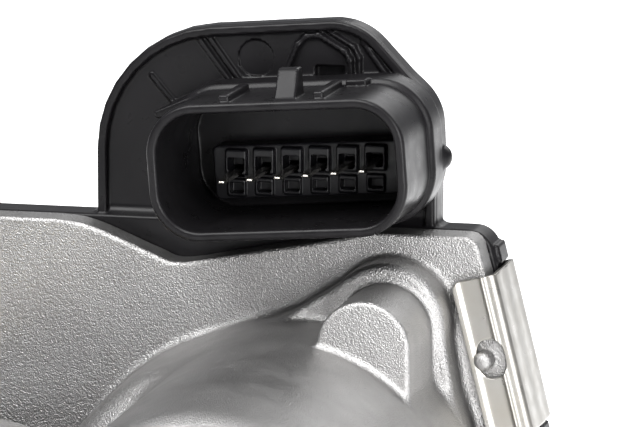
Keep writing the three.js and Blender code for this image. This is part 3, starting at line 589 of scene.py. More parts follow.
# ---- cast housing ----
case = Outline(rounded_outline(CASE))
case_wall = Outline(rounded_outline(CASE[:4] + [CAST_CORNER] + CASE[5:]))
seal = Outline(rounded_outline(CASE[:5] + SEAL_TOP))


def over_case(y0, y1):
    """The box of the whole case outline, from y0 to y1."""
    return (-34, 90), (y0, y1), (-5, 86)


BARREL_BOX = ((-36, 36), (-42, 32), (ENGINE_Z, INLET_Z))
FLANGE_CORNER = 7.0
FLANGE_DISC = 35.8
BEAD_R = 34.2
SEAL_GROOVE = (30.2, 33.2, 2.3)  # inner and outer radius, depth
RIB_WIDTH = 4.0
RIBS_X = (-17.5, 13.5)  # upright ribs between barrel and case
FINS_Z = (12, 46)  # level fins between barrel and case
FIN_HALF = 24.0
DIP = [  # the wall's top edge under the ear
    (17, 86.4), (21.5, 85.5), (26.6, 84.2), (34.6, 81), (38.7, 79.9), (48.2, 81.7), (63.3, 84.7), (68, 86.4),
]
MOTOR_BOSSES = [  # from, to, radius, front, edge rounding, fillet
    ((69.7, 73.7), (72.4, 58), 8.0, 25.0, 1.0, 1.3),
    ((69.7, 73.7), (54, 63.5), 8.0, 25.0, 1.0, 1.3),
    (SCREW_TOP, (70.2, 58), 6.5, 10.5, 0.6, 1.0),
    (SCREW_LOW, SHOULDER, 5.6, 5.0, 0.8, 1.5),
]
ROOM_HALF = 12.45  # half the width of the room that the case leaves for a clip
PEG = (-3.35, 1.35)  # the peg that a clip snaps over: its height beside the edge, its radius
SHAFT_BORES = [  # radius, from y, to y: the bearings, their shoulders and the shaft's own room
    (8.1, 26.9, 39), (8.1, -60, -36.9), (7.1, 25.2, 40), (7.1, -60, -35.2), (5.1, -60, 40),
]
STOP_TURN = math.radians(216)  # where the closing stop stands round the shaft
STOP_REACH = 15.5
STOP_HOLE_Y = 44.6


def flange(x, y, z):
    """A rounded square with its bolt corners, joined with a disc."""
    square = rounded(np.abs(x) - BOLTS[0], np.abs(y - BORE_Y) - BOLTS[1], FLANGE_CORNER)
    disc = np.hypot(x, y - BORE_Y) - FLANGE_DISC
    return both(either(square, disc, 4), band(z, ENGINE_Z, FLANGE_TOP), 0.8)


def clip_frames():
    """Each clip's spot on the case outline, and the turn of its edge."""
    frames = []
    for corner, share in CLIP_PLACES:
        x0, z0 = CASE[corner][:2]
        x1, z1 = CASE[(corner + 1) % len(CASE)][:2]
        turn = math.atan2(z1 - z0, x1 - x0) + math.pi
        frames.append(((x0 + (x1 - x0) * share, z0 + (z1 - z0) * share), turn))
    return frames


def smooth_line(points, steps=10):
    """Points of a smooth line through the given ones."""
    points = np.array(points, float)
    padded = np.vstack([2 * points[0] - points[1], points, 2 * points[-1] - points[-2]])
    line = []
    for a, b, c, d in zip(padded, padded[1:], padded[2:], padded[3:]):
        for step in range(steps):
            t = step / steps
            bend = (2 * a - 5 * b + 4 * c - d) * t**2 + (3 * b - a - 3 * c + d) * t**3
            line.append(0.5 * (2 * b + (c - a) * t + bend))
    return np.array([*line, points[-1]])


def tube():
    return rod_z(BORE, BARREL_R, ENGINE_Z, INLET_Z, 1.0)


def add_barrel(made):
    """The tube round the bore, its flange and the ribs and bosses that tie it to the case."""
    made.add(tube(), BARREL_BOX)
    made.add(rod_z(BORE, BEAD_R, INLET_Z - 4.4, INLET_Z - 0.7, 1.1), BARREL_BOX, 1.2)
    made.add(flange, ((-36, 36), (-42, 31), (ENGINE_Z, FLANGE_TOP)), 3.5)
    made.add(rod_y(SHAFT, 11.5, -46.5, -28, 1.2), around(SHAFT, 12, -47, -28), 3.5)
    made.add(rod_y(SHAFT, 12.5, 14, INTO_WALL), around(SHAFT, 13, 14, INTO_WALL), 3.0)
    for x in RIBS_X:
        rib = block(x, x + RIB_WIDTH, 12, INTO_WALL, -1, 48, 1.2)
        made.add(rib, ((x, x + RIB_WIDTH), (12, INTO_WALL), (-1, 48)), 2.5)
    made.add(block(-17, 17, 20, INTO_WALL, 0, 20, 1.0), ((-17, 17), (20, INTO_WALL), (0, 20)), 2.0)
    made.add(block(20, 42, -14, INTO_WALL, 38, 52, 2.0), ((20, 42), (-14, INTO_WALL), (38, 52)), 3.0)
    for z in FINS_Z:
        fin = slab((-FIN_HALF, z), (FIN_HALF, z), 1.2, 15, INTO_WALL, 0.8)
        made.add(fin, ((-26, 26), (15, INTO_WALL), (z - 2, z + 2)), 1.5)


def add_case(made):
    """The case wall with the motor's casting, flat behind and dipped under the cover's ear."""

    def wall(x, y, z):
        return both(case_wall.prism(WALL, 40, 0.45)(x, y, z), y - CASE_FACE, 0.15)

    made.add(wall, over_case(WALL, CASE_FACE), 2.5)
    made.add(cone_y(SHOULDER, (9, 29.4), (50, 31.0), 6.0), ((20, 84), (9, CASE_FACE), (9, 73)), 1.3)
    made.add(cone_y(MOTOR_CAST, (-40, 24.0), (50, 25.2), 9.5), ((32, 85), (-40, CASE_FACE), (22, 76)), 1.6)
    for a, b, radius, front, edge, fillet in MOTOR_BOSSES:
        made.add(slab(a, b, radius, front, 40, edge), ((a[0] - 34, 82), (front, 33), (20, 84)), fillet)
    made.cut(lambda x, y, z: CASE_FACE - y, ((-50, 95), (CASE_FACE, 60), (-10, 95)), 0.1)
    dip = Outline(np.vstack([smooth_line(DIP), [(68, 92), (17, 92)]]))
    made.cut(dip.prism(20, 45), ((17, 68), (WALL - 3, CASE_FACE + 3), (79, 90)), 0.6)


def cut_clip_rooms(made):
    """Room for each clip's front leg and for its web over the case's edge."""
    for spot, turn in clip_frames():
        box = around(spot, 17, 18, 37)
        made.cut(turned(block(-ROOM_HALF, ROOM_HALF, 17, WALL, -5.7, 9, 0.5), spot, turn), box, 0.3)
        made.cut(turned(block(-ROOM_HALF, ROOM_HALF, 23, 38, 0.05, 9), spot, turn), box, 0.4)
    # the tube once more, so that no clip's room opens into the bore
    made.add(tube(), BARREL_BOX)


def add_gear_room(made):
    """The hollow behind the wall, with the seats of the double gear and shaft, and the stop."""
    made.cut(seal.prism(CASE_FLOOR, 45, 0.5, inset=5.0), over_case(WALL, CASE_FACE), 0.3)
    made.add(rod_y(DOUBLE, 5, 32, 37, 0.3), ((24, 35), (32, 38), (37, 48)), 0.8)
    made.add(rod_y(SHAFT, 9.6, 32, 37.6, 0.3), around(SHAFT, 10, 32, 38), 0.8)
    made.add(turned(block(4, 10, 32.6, 48, -3, 3, 0.5), *stop_place()), ((-15, 2), (32, 49), (10, 25)), 0.8)


def stop_place():
    tip = (STOP_REACH * math.cos(STOP_TURN), SHAFT_Z + STOP_REACH * math.sin(STOP_TURN))
    return tip, STOP_TURN + math.pi / 2


def cut_bores(made):
    """The air's bore, the shaft's bores with their bearing seats and the motor's pocket."""
    made.cut(rod_z(BORE, BORE_R, -9, 70), ((-30, 30), (-36, 24), (-9, 62)), 0.7)
    for radius, y0, y1 in SHAFT_BORES:
        made.cut(rod_y(SHAFT, radius, y0, y1), around(SHAFT, 9, max(y0, -48), y1), 0.25)
    made.cut(rod_y(MOTOR, 20.2, -33, 45, 0.4), around(MOTOR, 21, -33, 40), 0.3)
    made.cut(rod_y(MOTOR, 6.4, -36.4, -30), around(MOTOR, 7, -37, -30), 0.2)


def cut_fastener_holes(made):
    for sx in (-1, 1):
        for sy in (-1, 1):
            x, y = sx * BOLTS[0], BORE_Y + sy * BOLTS[1]
            box = ((x - 7, x + 7), (y - 7, y + 7), (-7, 29))
            made.cut(rod_z((x, y), 6.0, FLANGE_TOP, 29, 1.0), box, 0.6)
            made.cut(rod_z((x, y), 3.3, -9, 10), box, 0.4)
    for spot in (SCREW_TOP, SCREW_LOW):
        made.cut(rod_y(spot, 2.3, 22.6, 40), around(spot, 3, 22, 40), 0.2)
    made.cut(rod_y(DOUBLE, 2.3, 32, 42), ((26, 32), (31, 42), (39, 46)), 0.2)
    stop_hole = lambda x, y, z: both(np.hypot(y - STOP_HOLE_Y, z) - 2.3, band(x, 2, 12))
    made.cut(turned(stop_hole, *stop_place()), ((-15, 2), (38, 52), (10, 25)), 0.2)


def cut_seal_groove(made):
    inner, outer, depth = SEAL_GROOVE
    groove = lambda x, y, z: both(band(np.hypot(x, y - BORE_Y), inner, outer), z - ENGINE_Z - depth)
    made.cut(groove, ((-34, 34), (-40, 28), (-7, -2)), 0.2)


def add_pegs(made):
    height, radius = PEG
    for spot, turn in clip_frames():
        made.add(turned(rod_y((0, height), radius, 28.5, 32, 1.2), spot, turn), around(spot, 6, 28, 32), 0.3)


def cast_housing():
    made = Solid()
    add_barrel(made)
    add_case(made)
    cut_clip_rooms(made)
    # the fillets round the flange end at its face
    made.cut(lambda x, y, z: z - ENGINE_Z, ((-36, 36), (-42, 31), (-9, ENGINE_Z)), 0.2)
    add_gear_room(made)
    cut_bores(made)
    cut_fastener_holes(made)
    cut_seal_groove(made)
    add_pegs(made)
    return made


HOUSING_AXES = (
    spaced(-38.0, (10, 1.0), (92, 0.5)),
    spaced(-49.0, (-8, 0.9), (8, 0.7), (39, 0.45), (50, 1.1)),
    spaced(-8.0, (40, 0.95), (88, 0.5)),
)
housing = sculpt("housing_casting", cast_housing(), HOUSING_AXES, FINISH["cast_aluminium"])
stand_for(housing, "housing", "housing")

# ---- moulded gear cover with its socket ----
EAR = [(24.9, 76, 1), (74, 76, 1), (74, 102.5, 8), (63, 114.2, 9), (24.9, 111.2, 18)]
EAR_INSIDE = [(26.3, 60, 1), (72.6, 60, 1), (72.6, 102, 6.6), (62.5, 112.9, 7.6), (26.3, 110, 16.6)]
EAR_BOX = [(34, 72, 2), (73.2, 72, 2), (73.2, 101, 5), (34, 101, 8)]  # the box on the ear's back
EAR_REACH = ((25, 75), (RIM_FRONT, 48), (72, 114))
EAR_LINES = [  # radius, front and points of each raised line on the ear's face
    (0.34, 37.3, [(39.6, 111.0), (45.4, 103.4)]),
    (0.34, 37.3, [(41.0, 111.4), (46.6, 103.8)]),
    (0.3, 37.5, [(32.8, 105.2), (36.1, 101.4)]),
    (0.6, 29.5, [(36.1, 101.0), (41.6, 103.4)]),
    (0.36, 37.2, [(52.3, 106.0), (54.2, 110.4), (55.4, 111.6), (57.2, 111.8),
                  (61.0, 109.6), (61.7, 108.4), (61.9, 105.2)]),
    (0.28, 37.3, [(58.6, 112.4), (62.2, 110.3), (63.0, 108.8), (63.1, 105.2)]),
    (0.4, 37.3, [(63.6, 111.0), (67.0, 106.4)]),
    (0.35, 36.6, [(61.8, 105.4), (68.4, 105.3)]),
]
EAR_MARK = ((48.0, 108.2), 2.55)  # the plain round mark: spot and radius
SOCKET_OUT = (36.4, 19.1, 7.0)  # width, height, corner radius
SOCKET_COLLAR = (38.0, 20.7, 7.8)
SOCKET_IN = (33.6, 16.3, 5.6)
SOCKET_BOX = ((34, 79), (15, 43), (82, 112))
SOCKET_DOT = (74.7, 36.5, 95.4)
KEYS_X = (-6.8, 6.5)  # the two keys on the socket's top
KEY_HALF = 0.75
CLIP_STOP = (13.15, 1.4)  # its distance from the clip's middle, half its width
CASE_SIDE = 3.0  # how far the cover's dome stands inside the case outline
BACK_FRAME = 6.5
BACK_ROUNDS = ((SHAFT, 15.5), (MOTOR, 11.5), (DOUBLE, 6.5))
BACK_DEPTH = 0.6


def moved_in(corners, distance, extra):
    """An outline's corners moved in by a distance, with extra added to each radius."""
    result = []
    for index, (x, z, r) in enumerate(corners):
        bx, bz = corners[index - 1][:2]
        ax, az = corners[(index + 1) % len(corners)][:2]
        before = np.array([bz - z, x - bx]) / math.hypot(bz - z, x - bx)
        after = np.array([z - az, ax - x]) / math.hypot(z - az, ax - x)
        move = (before + after) * distance / ((before + after) @ after)
        result.append((x + move[0], z + move[1], max(r - distance, 0.6) + extra))
    return result


dome = Outline(rounded_outline(moved_in(CASE, CASE_SIDE, 2.5)))


def latch_ramp(x, y, z):
    """The wedge that holds the plug's latch, drawn at the socket's axis."""
    slope = (17.2 - y) * 0.773 + (z - 9.3) * 0.634
    return both(both(band(x, 0.1, 3.1), band(z, 8.5, 13.4), 0.25), both(slope, y - 22.6, 0.25), 0.25)


def back_face(x, y, z):
    """Pressed in a little, apart from a frame and three round faces over the shafts."""
    edge = dome(x, z) + BACK_FRAME
    for spot, radius in BACK_ROUNDS:
        edge = np.maximum(edge, radius - np.hypot(x - spot[0], z - spot[1]))
    return COVER_BACK - BACK_DEPTH / (1 + np.exp(np.clip(edge * 4, -30, 30))) - y


def add_shell(made):
    """The rim, the stops beside the clips and the dome over the gears."""
    made.add(case.prism(RIM_FRONT, RIM_BACK, 0.45), over_case(RIM_FRONT, RIM_BACK))
    distance, half = CLIP_STOP
    for index, (spot, turn) in enumerate(clip_frames()):
        if index == TOP_CLIP:
            continue
        for side in (-distance, distance):
            stop = turned(block(side - half, side + half, 37.2, RIM_BACK, -2, 0.7, 0.4), spot, turn)
            made.add(stop, around(spot, 16, 37, RIM_BACK), 0.4)
    start = RIM_FRONT + 2
    made.add(dome.prism(start, COVER_BACK, 2.6), ((-33, 88), (start, COVER_BACK), (-4, 84)), 1.2)


def add_ear(made):
    """The upright plate behind the socket, with a lip round its front and a box on its back."""
    ear, inside, box = (Outline(rounded_outline(corners)) for corners in (EAR, EAR_INSIDE, EAR_BOX))
    made.add(ear.prism(EAR_FRONT, EAR_BACK, 0.4), EAR_REACH, 1.4)
    made.add(box.prism(EAR_BACK - 1, 48, 1.6), EAR_REACH, 1.0)

    def lip(x, y, z):
        return both(without(ear(x, z), inside(x, z)), band(y, RIM_FRONT + 0.6, EAR_BACK), 0.35)

    made.add(lip, EAR_REACH, 0.4)


def add_socket(made):
    """The socket's wall, its collar, the latch ramp, two keys, a small step and a moulded dot."""

    def add_tilted(shape, r):
        made.add(turned(shape, SOCKET, SOCKET_TILT), SOCKET_BOX, r)

    add_tilted(rounded_box(*SOCKET_OUT, SOCKET_RIM, EAR_BACK, 0.5), 1.0)
    add_tilted(rounded_box(*SOCKET_COLLAR, 30, 36, 0.6), 0.5)
    add_tilted(latch_ramp, 0.3)
    for x in KEYS_X:
        add_tilted(block(x - KEY_HALF, x + KEY_HALF, 16.8, 28, 8.5, 10.6, 0.3), 0.3)
    add_tilted(block(7.6, 10.6, 28, 30.5, 8.5, 10.5, 0.25), 0.2)
    dot_x, dot_y, dot_z = SOCKET_DOT
    dot = lambda x, y, z: np.sqrt((x - dot_x) ** 2 + (y - dot_y) ** 2 + (z - dot_z) ** 2) - 1.9
    made.add(dot, SOCKET_BOX, 0.6)


def add_ear_details(made):
    """Raised lines, the recessed round mark and a small window on the ear's face."""
    for radius, front, line in EAR_LINES:
        for a, b in zip(line, line[1:]):
            across = (min(a[0], b[0]) - 1, max(a[0], b[0]) + 1)
            tall = (min(a[1], b[1]) - 1, max(a[1], b[1]) + 1)
            box = (across, (front, EAR_FRONT + 1), tall)
            made.add(slab(a, b, radius, front, EAR_FRONT + 1, 0.25), box, 0.35)
    spot, radius = EAR_MARK
    made.cut(rod_y(spot, radius, 30, EAR_FRONT + 0.25, 0.1), ((45, 51), (37, 39), (105, 111)), 0.12)
    made.cut(block(56.6, 60.8, 30, 39.2, 104.6, 107.4, 0.3), ((56, 62), (37, 40), (104, 108)), 0.2)


def cut_cover(made):
    """The socket's hollow, the gear room, the gasket's groove and the blades' holes."""
    hollow = turned(rounded_box(*SOCKET_IN, 10, SOCKET_FLOOR, 0.3), SOCKET, SOCKET_TILT)
    made.cut(hollow, SOCKET_BOX, 0.5)
    made.cut(seal.prism(20, ROOF, 0.8, inset=5.0), over_case(RIM_FRONT, ROOF), 0.3)
    groove = lambda x, y, z: both(band(seal(x, z), -3.6, -1.6), y - RIM_FRONT - 1.8)
    made.cut(groove, over_case(RIM_FRONT - 1, RIM_FRONT + 2), 0.15)
    for x, z in pin_places():
        hole = pin_hole(x, z, SOCKET_FLOOR - 1, 39.8)
        made.cut(hole, ((x - 1, x + 1), (36, 40), (z - 1, z + 1)))
    made.cut(back_face, over_case(COVER_BACK - 1, COVER_BACK))


def gear_cover():
    made = Solid()
    add_shell(made)
    add_ear(made)
    add_socket(made)
    add_ear_details(made)
    cut_cover(made)
    # the seat of the double gear's pin
    made.add(rod_y(DOUBLE, 4.6, 51.8, ROOF + 1, 0.2), ((24, 34), (51, 55), (37, 48)), 0.3)
    made.cut(rod_y(DOUBLE, 2.3, 45, 52.9), ((26, 32), (50, 54), (39, 46)), 0.1)
    return made


def pin_places():
    """Where the six blades stand, in X and Z."""
    offsets = [(index - 2.5) * PIN_PITCH for index in range(6)]
    return [(SOCKET[0] + along, PIN_Z + along * math.tan(PIN_TILT)) for along in offsets]


def pin_hole(x, z, y0, y1):
    return block(x - 0.9, x + 0.9, y0, y1, z - 0.6, z + 0.6)


COVER_AXES = (
    spaced(-36.0, (23, 0.65), (78, 0.34), (92, 0.6)),
    spaced(14.0, (44, 0.36), (53, 0.9), (57, 0.4)),
    spaced(-7.0, (74, 0.6), (115, 0.34)),
)
cover = sculpt("cover_moulding", gear_cover(), COVER_AXES, FINISH["black_plastic"])
stand_for(cover, "housing", "gear_cover")


# ---- terminal block and its blades ----
BLOCK_ROOM = ((42, 71), (30, 38), (88, 99))
BLADE_TIP_Y = 24.6
BLADE_HALF = (0.6, 0.3)  # half its width and thickness
BLADE_END_HALF = (0.35, 0.12)  # the same at the chamfered tip


def contact_block():
    """The block at the socket's floor, with an upper and a lower window in front of each blade."""
    made = Solid()
    body = rounded_box(27.2, 7.6, 0.8, 33.4, SOCKET_FLOOR - 0.3, 0.25)
    made.add(turned(body, (SOCKET[0] + 0.19, SOCKET[1] - 2.6), SOCKET_TILT), BLOCK_ROOM)
    for x, _ in pin_places():
        middle = SOCKET[1] + (x - SOCKET[0]) * math.tan(SOCKET_TILT)
        made.add(block(x - 1.55, x + 1.55, 32.3, 35, middle - 2.9, middle + 0.7, 0.3), BLOCK_ROOM, 0.2)
        made.add(block(x - 1.3, x + 1.3, 32.9, 35, middle - 6.0, middle - 3.5, 0.25), BLOCK_ROOM, 0.2)
        made.cut(block(x - 1.1, x + 1.1, 30, 35.4, middle - 2.3, middle - 0.5, 0.2), BLOCK_ROOM, 0.15)
        made.cut(block(x - 1.0, x + 1.0, 30, 34.6, middle - 5.5, middle - 4.1, 0.2), BLOCK_ROOM, 0.15)
    for x, z in pin_places():
        made.cut(pin_hole(x, z, 30, 39), BLOCK_ROOM)
    return made


BLOCK_AXES = (spaced(41.0, (72, 0.22)), spaced(31.0, (38.4, 0.22)), spaced(87.5, (99.5, 0.22)))
contacts = sculpt("contact_block", contact_block(), BLOCK_AXES, FINISH["block_plastic"])
stand_for(contacts, "housing", "terminal_block")


def blade(x, z):
    """A flat blade at one spot, chamfered at its tip."""
    (wide, thick), (end_wide, end_thick) = BLADE_HALF, BLADE_END_HALF

    def value(px, py, pz):
        bar = both(band(px, x - wide, x + wide), band(pz, z - thick, z + thick), 0.08)
        from_tip = (py - BLADE_TIP_Y) * 0.6
        sides = (np.abs(px - x) - end_wide) * 0.8 - from_tip
        faces = (np.abs(pz - z) - end_thick) * 0.8 - from_tip
        return both(both(bar, band(py, BLADE_TIP_Y, 39.5)), both(sides, faces), 0.05)

    return value


def add_blades():
    for number, (x, z) in enumerate(pin_places(), 1):
        shape = Solid()
        shape.add(blade(x, z), ((x - 1, x + 1), (24, 40), (z - 1, z + 1)))
        along = spaced(24.2, (27, 0.12), (40, 0.4))
        axes = (spaced(x - 0.9, (x + 0.9, 0.1)), along, spaced(z - 0.6, (z + 0.6, 0.08)))
        piece = sculpt(f"contact_blade_{number}", shape, axes, FINISH["tin"])
        stand_for(piece, "housing", f"terminal_pin_{number}")


add_blades()


# ---- spring clips ----
CLIP_FRONT, CLIP_BACK = 29.9, 43.1
SHEET = 0.75
CLIP_HOLE = (2.75, 1.95, -2.2)  # half width, half height, height of its middle
HOLE_POWER = 2.6


def step_down(value, steepness):
    """1 well below zero, 0 well above it, and smooth between."""
    return 1 / (1 + np.exp(value * steepness))


def clip_sheet(x, y, z):
    """A bent sheet over a level edge: web above, long front leg, short back leg, pressed ribs."""
    lip = 0.34 * step_down(z + 4.35, 7)
    rib = 0.36 * np.exp(-(((z + 0.9) / 0.34) ** 2))
    press = (lip + rib) * step_down(y - 33, 6)
    wave = 0.05 * np.cos((y - 31.9) * 1.15) * step_down(31 - y, 5) * step_down(y - 42, 5)
    py, pz = y + press, z - wave
    outer = both(band(py, CLIP_FRONT, CLIP_BACK), pz - 1.1, 0.95)
    inner = both(band(py, CLIP_FRONT + SHEET, CLIP_BACK - SHEET), pz - 1.1 + SHEET, 0.25)
    ends = band(x, -CLIP_HALF, CLIP_HALF)
    foot = np.where(y < 36, -5.3, -2.9) - z
    sheet = both(without(outer, inner, 0.1), both(ends, foot, 1.2), 0.12)
    wide, tall, middle = CLIP_HOLE
    hole = (np.abs(x / wide) ** HOLE_POWER + np.abs((z - middle) / tall) ** HOLE_POWER) ** (1 / HOLE_POWER)
    return without(sheet, both((hole - 1) * 2.0, y - 34), 0.1)


def add_clips():
    """One sheet, drawn once and placed at each of the clips' spots."""
    shape = Solid()
    shape.add(clip_sheet, ((-12, 12), (28, 44), (-6, 2)))
    along = spaced(28.4, (31.8, 0.17), (41.6, 0.3), (44, 0.17))
    points, quads = skin(shape, (spaced(-12.2, (12.2, 0.3)), along, spaced(-6.1, (2.2, 0.17))))
    normals = normals_at(shape, points, 0.05)
    for number, (spot, turn) in enumerate(clip_frames(), 1):
        c, s = math.cos(turn), math.sin(turn)
        spin = np.array([[c, 0, -s], [0, 1, 0], [s, 0, c]])
        placed = points @ spin.T + np.array([spot[0], 0, spot[1]])
        piece = mesh_object(f"clip_{number}", placed, quads, FINISH["spring_steel"])
        piece.data.normals_split_custom_set_from_vertices((normals @ spin.T).astype(np.float32))
        stand_for(piece, "housing", f"spring_clip_{number}")


add_clips()


# ---- shaft and plate, drawn closed and turned to the limp-home position ----
PLATE_R = 27.8
PLATE_HALF = 1.2
SHAFT_ENDS = (-43.6, 46.6)
PLATE_SLOT = ((-34.4, 22.4), 1.5)  # the shaft's slot: its ends in Y, half its height
SCREW_HOLE_R = 2.3
SCREW_FACE = (4.0, 3.5)  # the flat under each screw's head: its radius, its height over the axis


def to_limp_home(made):
    centre = row(0, 0, SHAFT_Z)
    turn = Matrix.Rotation(LIMP_HOME, 4, "Y")
    made.data.transform(Matrix.Translation(centre) @ turn @ Matrix.Translation(-centre))
    return made


def plate_shape(x, y, z):
    edge = np.hypot(x, y - BORE_Y) - PLATE_R
    disc = both(edge, band(z - SHAFT_Z, -PLATE_HALF, PLATE_HALF), 0.25)
    for middle in PLATE_SCREWS_Y:
        disc = without(disc, np.hypot(x, y - middle) - SCREW_HOLE_R, 0.1)
    return disc


def shaft_shape(x, y, z):
    z = z - SHAFT_Z
    body = both(np.hypot(x, z) - SHAFT_R, band(y, *SHAFT_ENDS), 0.4)
    slot_ends, slot_half = PLATE_SLOT
    body = without(body, both(band(y, *slot_ends), band(z, -slot_half, slot_half)), 0.1)
    face_r, face_z = SCREW_FACE
    for middle in PLATE_SCREWS_Y:
        from_screw = np.hypot(x, y - middle)
        body = without(body, both(from_screw - face_r, face_z - z), 0.1)
        body = without(body, from_screw - SCREW_HOLE_R, 0.1)
    return body


plate = Solid()
plate.add(plate_shape, ((-29, 29), (-35, 23), (29, 33)))
plate_axes = (spaced(-29.0, (29, 0.5)), spaced(-35.0, (23, 0.5)), spaced(29.2, (32.8, 0.2)))
plate_piece = to_limp_home(sculpt("butterfly_plate", plate, plate_axes, FINISH["plate_brass"]))
stand_for(plate_piece, "throttle", "throttle_plate")
shaft = Solid()
shaft.add(shaft_shape, ((-5, 5), (-44, 47), (26, 36)))
shaft_axes = (spaced(-5.45, (5.45, 0.3)), spaced(-44.5, (47.5, 0.35)), spaced(25.55, (36.45, 0.3)))
shaft_piece = to_limp_home(sculpt("plate_shaft", shaft, shaft_axes, FINISH["bearing_steel"]))
stand_for(shaft_piece, "throttle", "throttle_shaft")


def cap_shape(x, y, z):
    """The pressed cap that closes the shaft's bearing."""
    r = np.hypot(x, z - SHAFT_Z)
    cap = both(r - 7.8, band(y, -46.3, -44), 0.35)
    return without(cap, both(r - 5.4, y + 45.1), 0.4)


cap = Solid()
cap.add(cap_shape, ((-8, 8), (-47, -43), (23, 39)))
cap_axes = (spaced(-8.6, (8.6, 0.3)), spaced(-47.0, (-43.2, 0.2)), spaced(22.4, (39.6, 0.3)))
stand_for(sculpt("bearing_cap", cap, cap_axes, FINISH["zinc_steel"]), "housing", "bearing_plug")

# ---- return spring: a fixed wire coil; in the real part one end stays with the housing and the other turns with the shaft ----
SPRING_R = 12.2
SPRING_LEGS = (18.5, 15.0)  # radii of the two points of each straight end
SPRING_START = math.radians(264)
SPRING_TURNS = 3.5
SPRING_STEPS = 150
SPRING_Y = (35.2, 40.4)
WIRE_R = 0.6
WIRE_SIDES = 8


def spring_line():
    """The wire's middle line: out along one leg, round the turns, and out along the other."""
    start, end = SPRING_START, SPRING_START + SPRING_TURNS * 2 * math.pi
    y0, y1 = SPRING_Y
    line = [(reach, start, y0) for reach in SPRING_LEGS]
    for step in range(3, SPRING_STEPS - 2):
        share = step / SPRING_STEPS
        line.append((SPRING_R, start + (end - start) * share, y0 + (y1 - y0) * share))
    line += [(reach, end, y1) for reach in reversed(SPRING_LEGS)]
    return np.array([(r * math.cos(a), y, SHAFT_Z + r * math.sin(a)) for r, a, y in line])


def wire_mesh(line, radius, sides=WIRE_SIDES):
    """A round wire along a line, closed at both ends."""
    rings = []
    for index, point in enumerate(line):
        ahead = line[min(index + 1, len(line) - 1)] - line[max(index - 1, 0)]
        ahead /= np.linalg.norm(ahead)
        across = np.cross(ahead, (0, 1, 0))
        across /= np.linalg.norm(across)
        up = np.cross(across, ahead)
        angles = np.arange(sides) * 2 * math.pi / sides
        rings.append(point + radius * (np.cos(angles)[:, None] * across + np.sin(angles)[:, None] * up))
    points = np.concatenate(rings + [line[:1], line[-1:]])
    faces = []
    for ring in range(len(line) - 1):
        for side in range(sides):
            a, b = ring * sides + side, ring * sides + (side + 1) % sides
            faces.append((a, b, b + sides, a + sides))
    mesh = bpy.data.meshes.new("return_coil")
    first, last = len(points) - 2, len(points) - 1
    ends = [(first, (side + 1) % sides, side) for side in range(sides)]
    back = (len(line) - 1) * sides
    ends += [(last, back + side, back + (side + 1) % sides) for side in range(sides)]
    mesh.from_pydata([tuple(p) for p in (points + SHIFT) / 1000], [], faces + ends)
    mesh.shade_smooth()
    mesh.materials.append(FINISH["dark_steel"])
    made = bpy.data.objects.new("return_coil", mesh)
    bpy.context.scene.collection.objects.link(made)
    return made


coil = wire_mesh(spring_line(), WIRE_R)
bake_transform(coil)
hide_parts("return_spring")

# ---- pieces that keep their CAD mesh ----
for name, slot in SLOT_OF.items():
    node = frame["nodes"][name]
    if node.type == "MESH":
        node.data.materials.clear()
        node.data.materials.append(FINISH[slot])

# ---- floor, light and camera, in metres of the row frame ----
TARGET = row(61.5, 21, 89.5)
AZIMUTH, ELEVATION = math.radians(14), math.radians(10)
DISTANCE = 0.65
VIEW_WIDTH = 0.08767  # what the picture spans at the target
SENSOR = 36.0
FLOOR_HALF = 25.0
FLOOR_GAP = 0.0002
FLOOR_GLOW = {"From Min": -0.15, "From Max": 0.25, "To Min": 0.35, "To Max": 0.95}  # over Y, front to back
WORLD_STRENGTH = 0.28
LIGHTS = [  # name, azimuth and elevation in degrees, distance, size, power, target
    ("key", -20, 55, 0.9, (0.7, 0.5), 13, (0, 0, 0.05)),
    ("fill", 55, 25, 1.0, (0.5, 0.7), 4, (0, 0, 0.05)),
    ("near", 32, 8, 0.28, (0.1, 0.14), 0.62, row(78, 15, 78)),
    ("top", 10, 85, 0.9, (0.7, 0.7), 5, (0, 0, 0.05)),
    ("rim", 160, 35, 1.1, (0.9, 0.6), 4, (0, 0, 0.05)),
]


def towards(azimuth, elevation):
    """The unit vector to a viewer; azimuth 0 is the front, and positive is to the right."""
    return Vector((
        math.sin(azimuth) * math.cos(elevation),
        -math.cos(azimuth) * math.cos(elevation),
        math.sin(elevation),
    ))


def aim(made, target):
    made.rotation_euler = (Vector(target) - made.location).to_track_quat("-Z", "Y").to_euler()


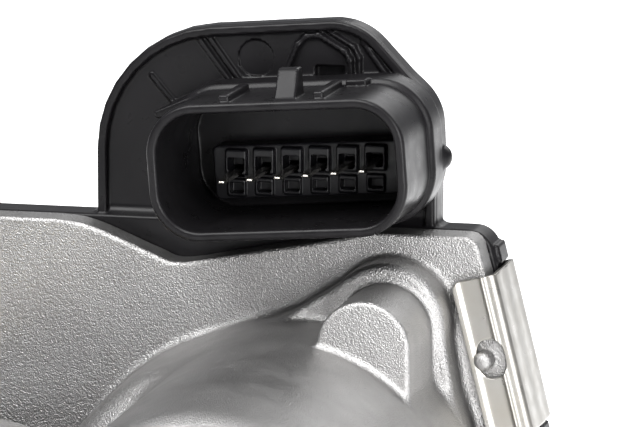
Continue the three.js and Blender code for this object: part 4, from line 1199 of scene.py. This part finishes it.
def area_light(name, azimuth, elevation, distance, size, power, target):
    light = bpy.data.lights.new(name, "AREA")
    light.shape = "RECTANGLE"
    light.size, light.size_y = size
    light.energy = power
    made = bpy.data.objects.new(name, light)
    made.location = Vector(target) + towards(math.radians(azimuth), math.radians(elevation)) * distance
    aim(made, target)
    bpy.context.scene.collection.objects.link(made)


def studio_floor():
    """A pale floor that glows more towards the back, so that it runs into a white background."""
    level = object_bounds()[0][2] - FLOOR_GAP
    corners = [(x * FLOOR_HALF, y * FLOOR_HALF, level) for x, y in ((-1, -1), (1, -1), (1, 1), (-1, 1))]
    mesh = bpy.data.meshes.new("floor")
    mesh.from_pydata(corners, [], [(0, 1, 2, 3)])
    look = finish(
        "floor", (0.93, 0.93, 0.93), 0.0, 0.8,
        marks=(400.0, (0.91, 0.91, 0.915), 0.3), Emission_Color=(1, 1, 1, 1),
    )
    nodes, links = look.node_tree.nodes, look.node_tree.links
    split = nodes.new("ShaderNodeSeparateXYZ")
    glow = nodes.new("ShaderNodeMapRange")
    for name, value in FLOOR_GLOW.items():
        glow.inputs[name].default_value = value
    links.new(nodes["Texture Coordinate"].outputs["Object"], split.inputs[0])
    links.new(split.outputs["Y"], glow.inputs["Value"])
    links.new(glow.outputs["Result"], nodes["Principled BSDF"].inputs["Emission Strength"])
    mesh.materials.append(look)
    made = bpy.data.objects.new("floor", mesh)
    bpy.context.scene.collection.objects.link(made)
    return made


floor = studio_floor()
for light in LIGHTS:
    area_light(*light)

world = bpy.data.worlds.new("studio")
world.use_nodes = True
background = world.node_tree.nodes["Background"]
background.inputs["Color"].default_value = (0.95, 0.96, 1.0, 1)
background.inputs["Strength"].default_value = WORLD_STRENGTH
bpy.context.scene.world = world
bpy.context.scene.view_settings.view_transform = "Standard"

camera_data = bpy.data.cameras.new("camera")
camera_data.sensor_width = SENSOR
camera_data.lens = SENSOR * DISTANCE / VIEW_WIDTH
camera_data.clip_start = 0.01
camera = bpy.data.objects.new("camera", camera_data)
camera.location = TARGET + towards(AZIMUTH, ELEVATION) * DISTANCE
aim(camera, TARGET)
bpy.context.scene.collection.objects.link(camera)
bpy.context.scene.camera = camera
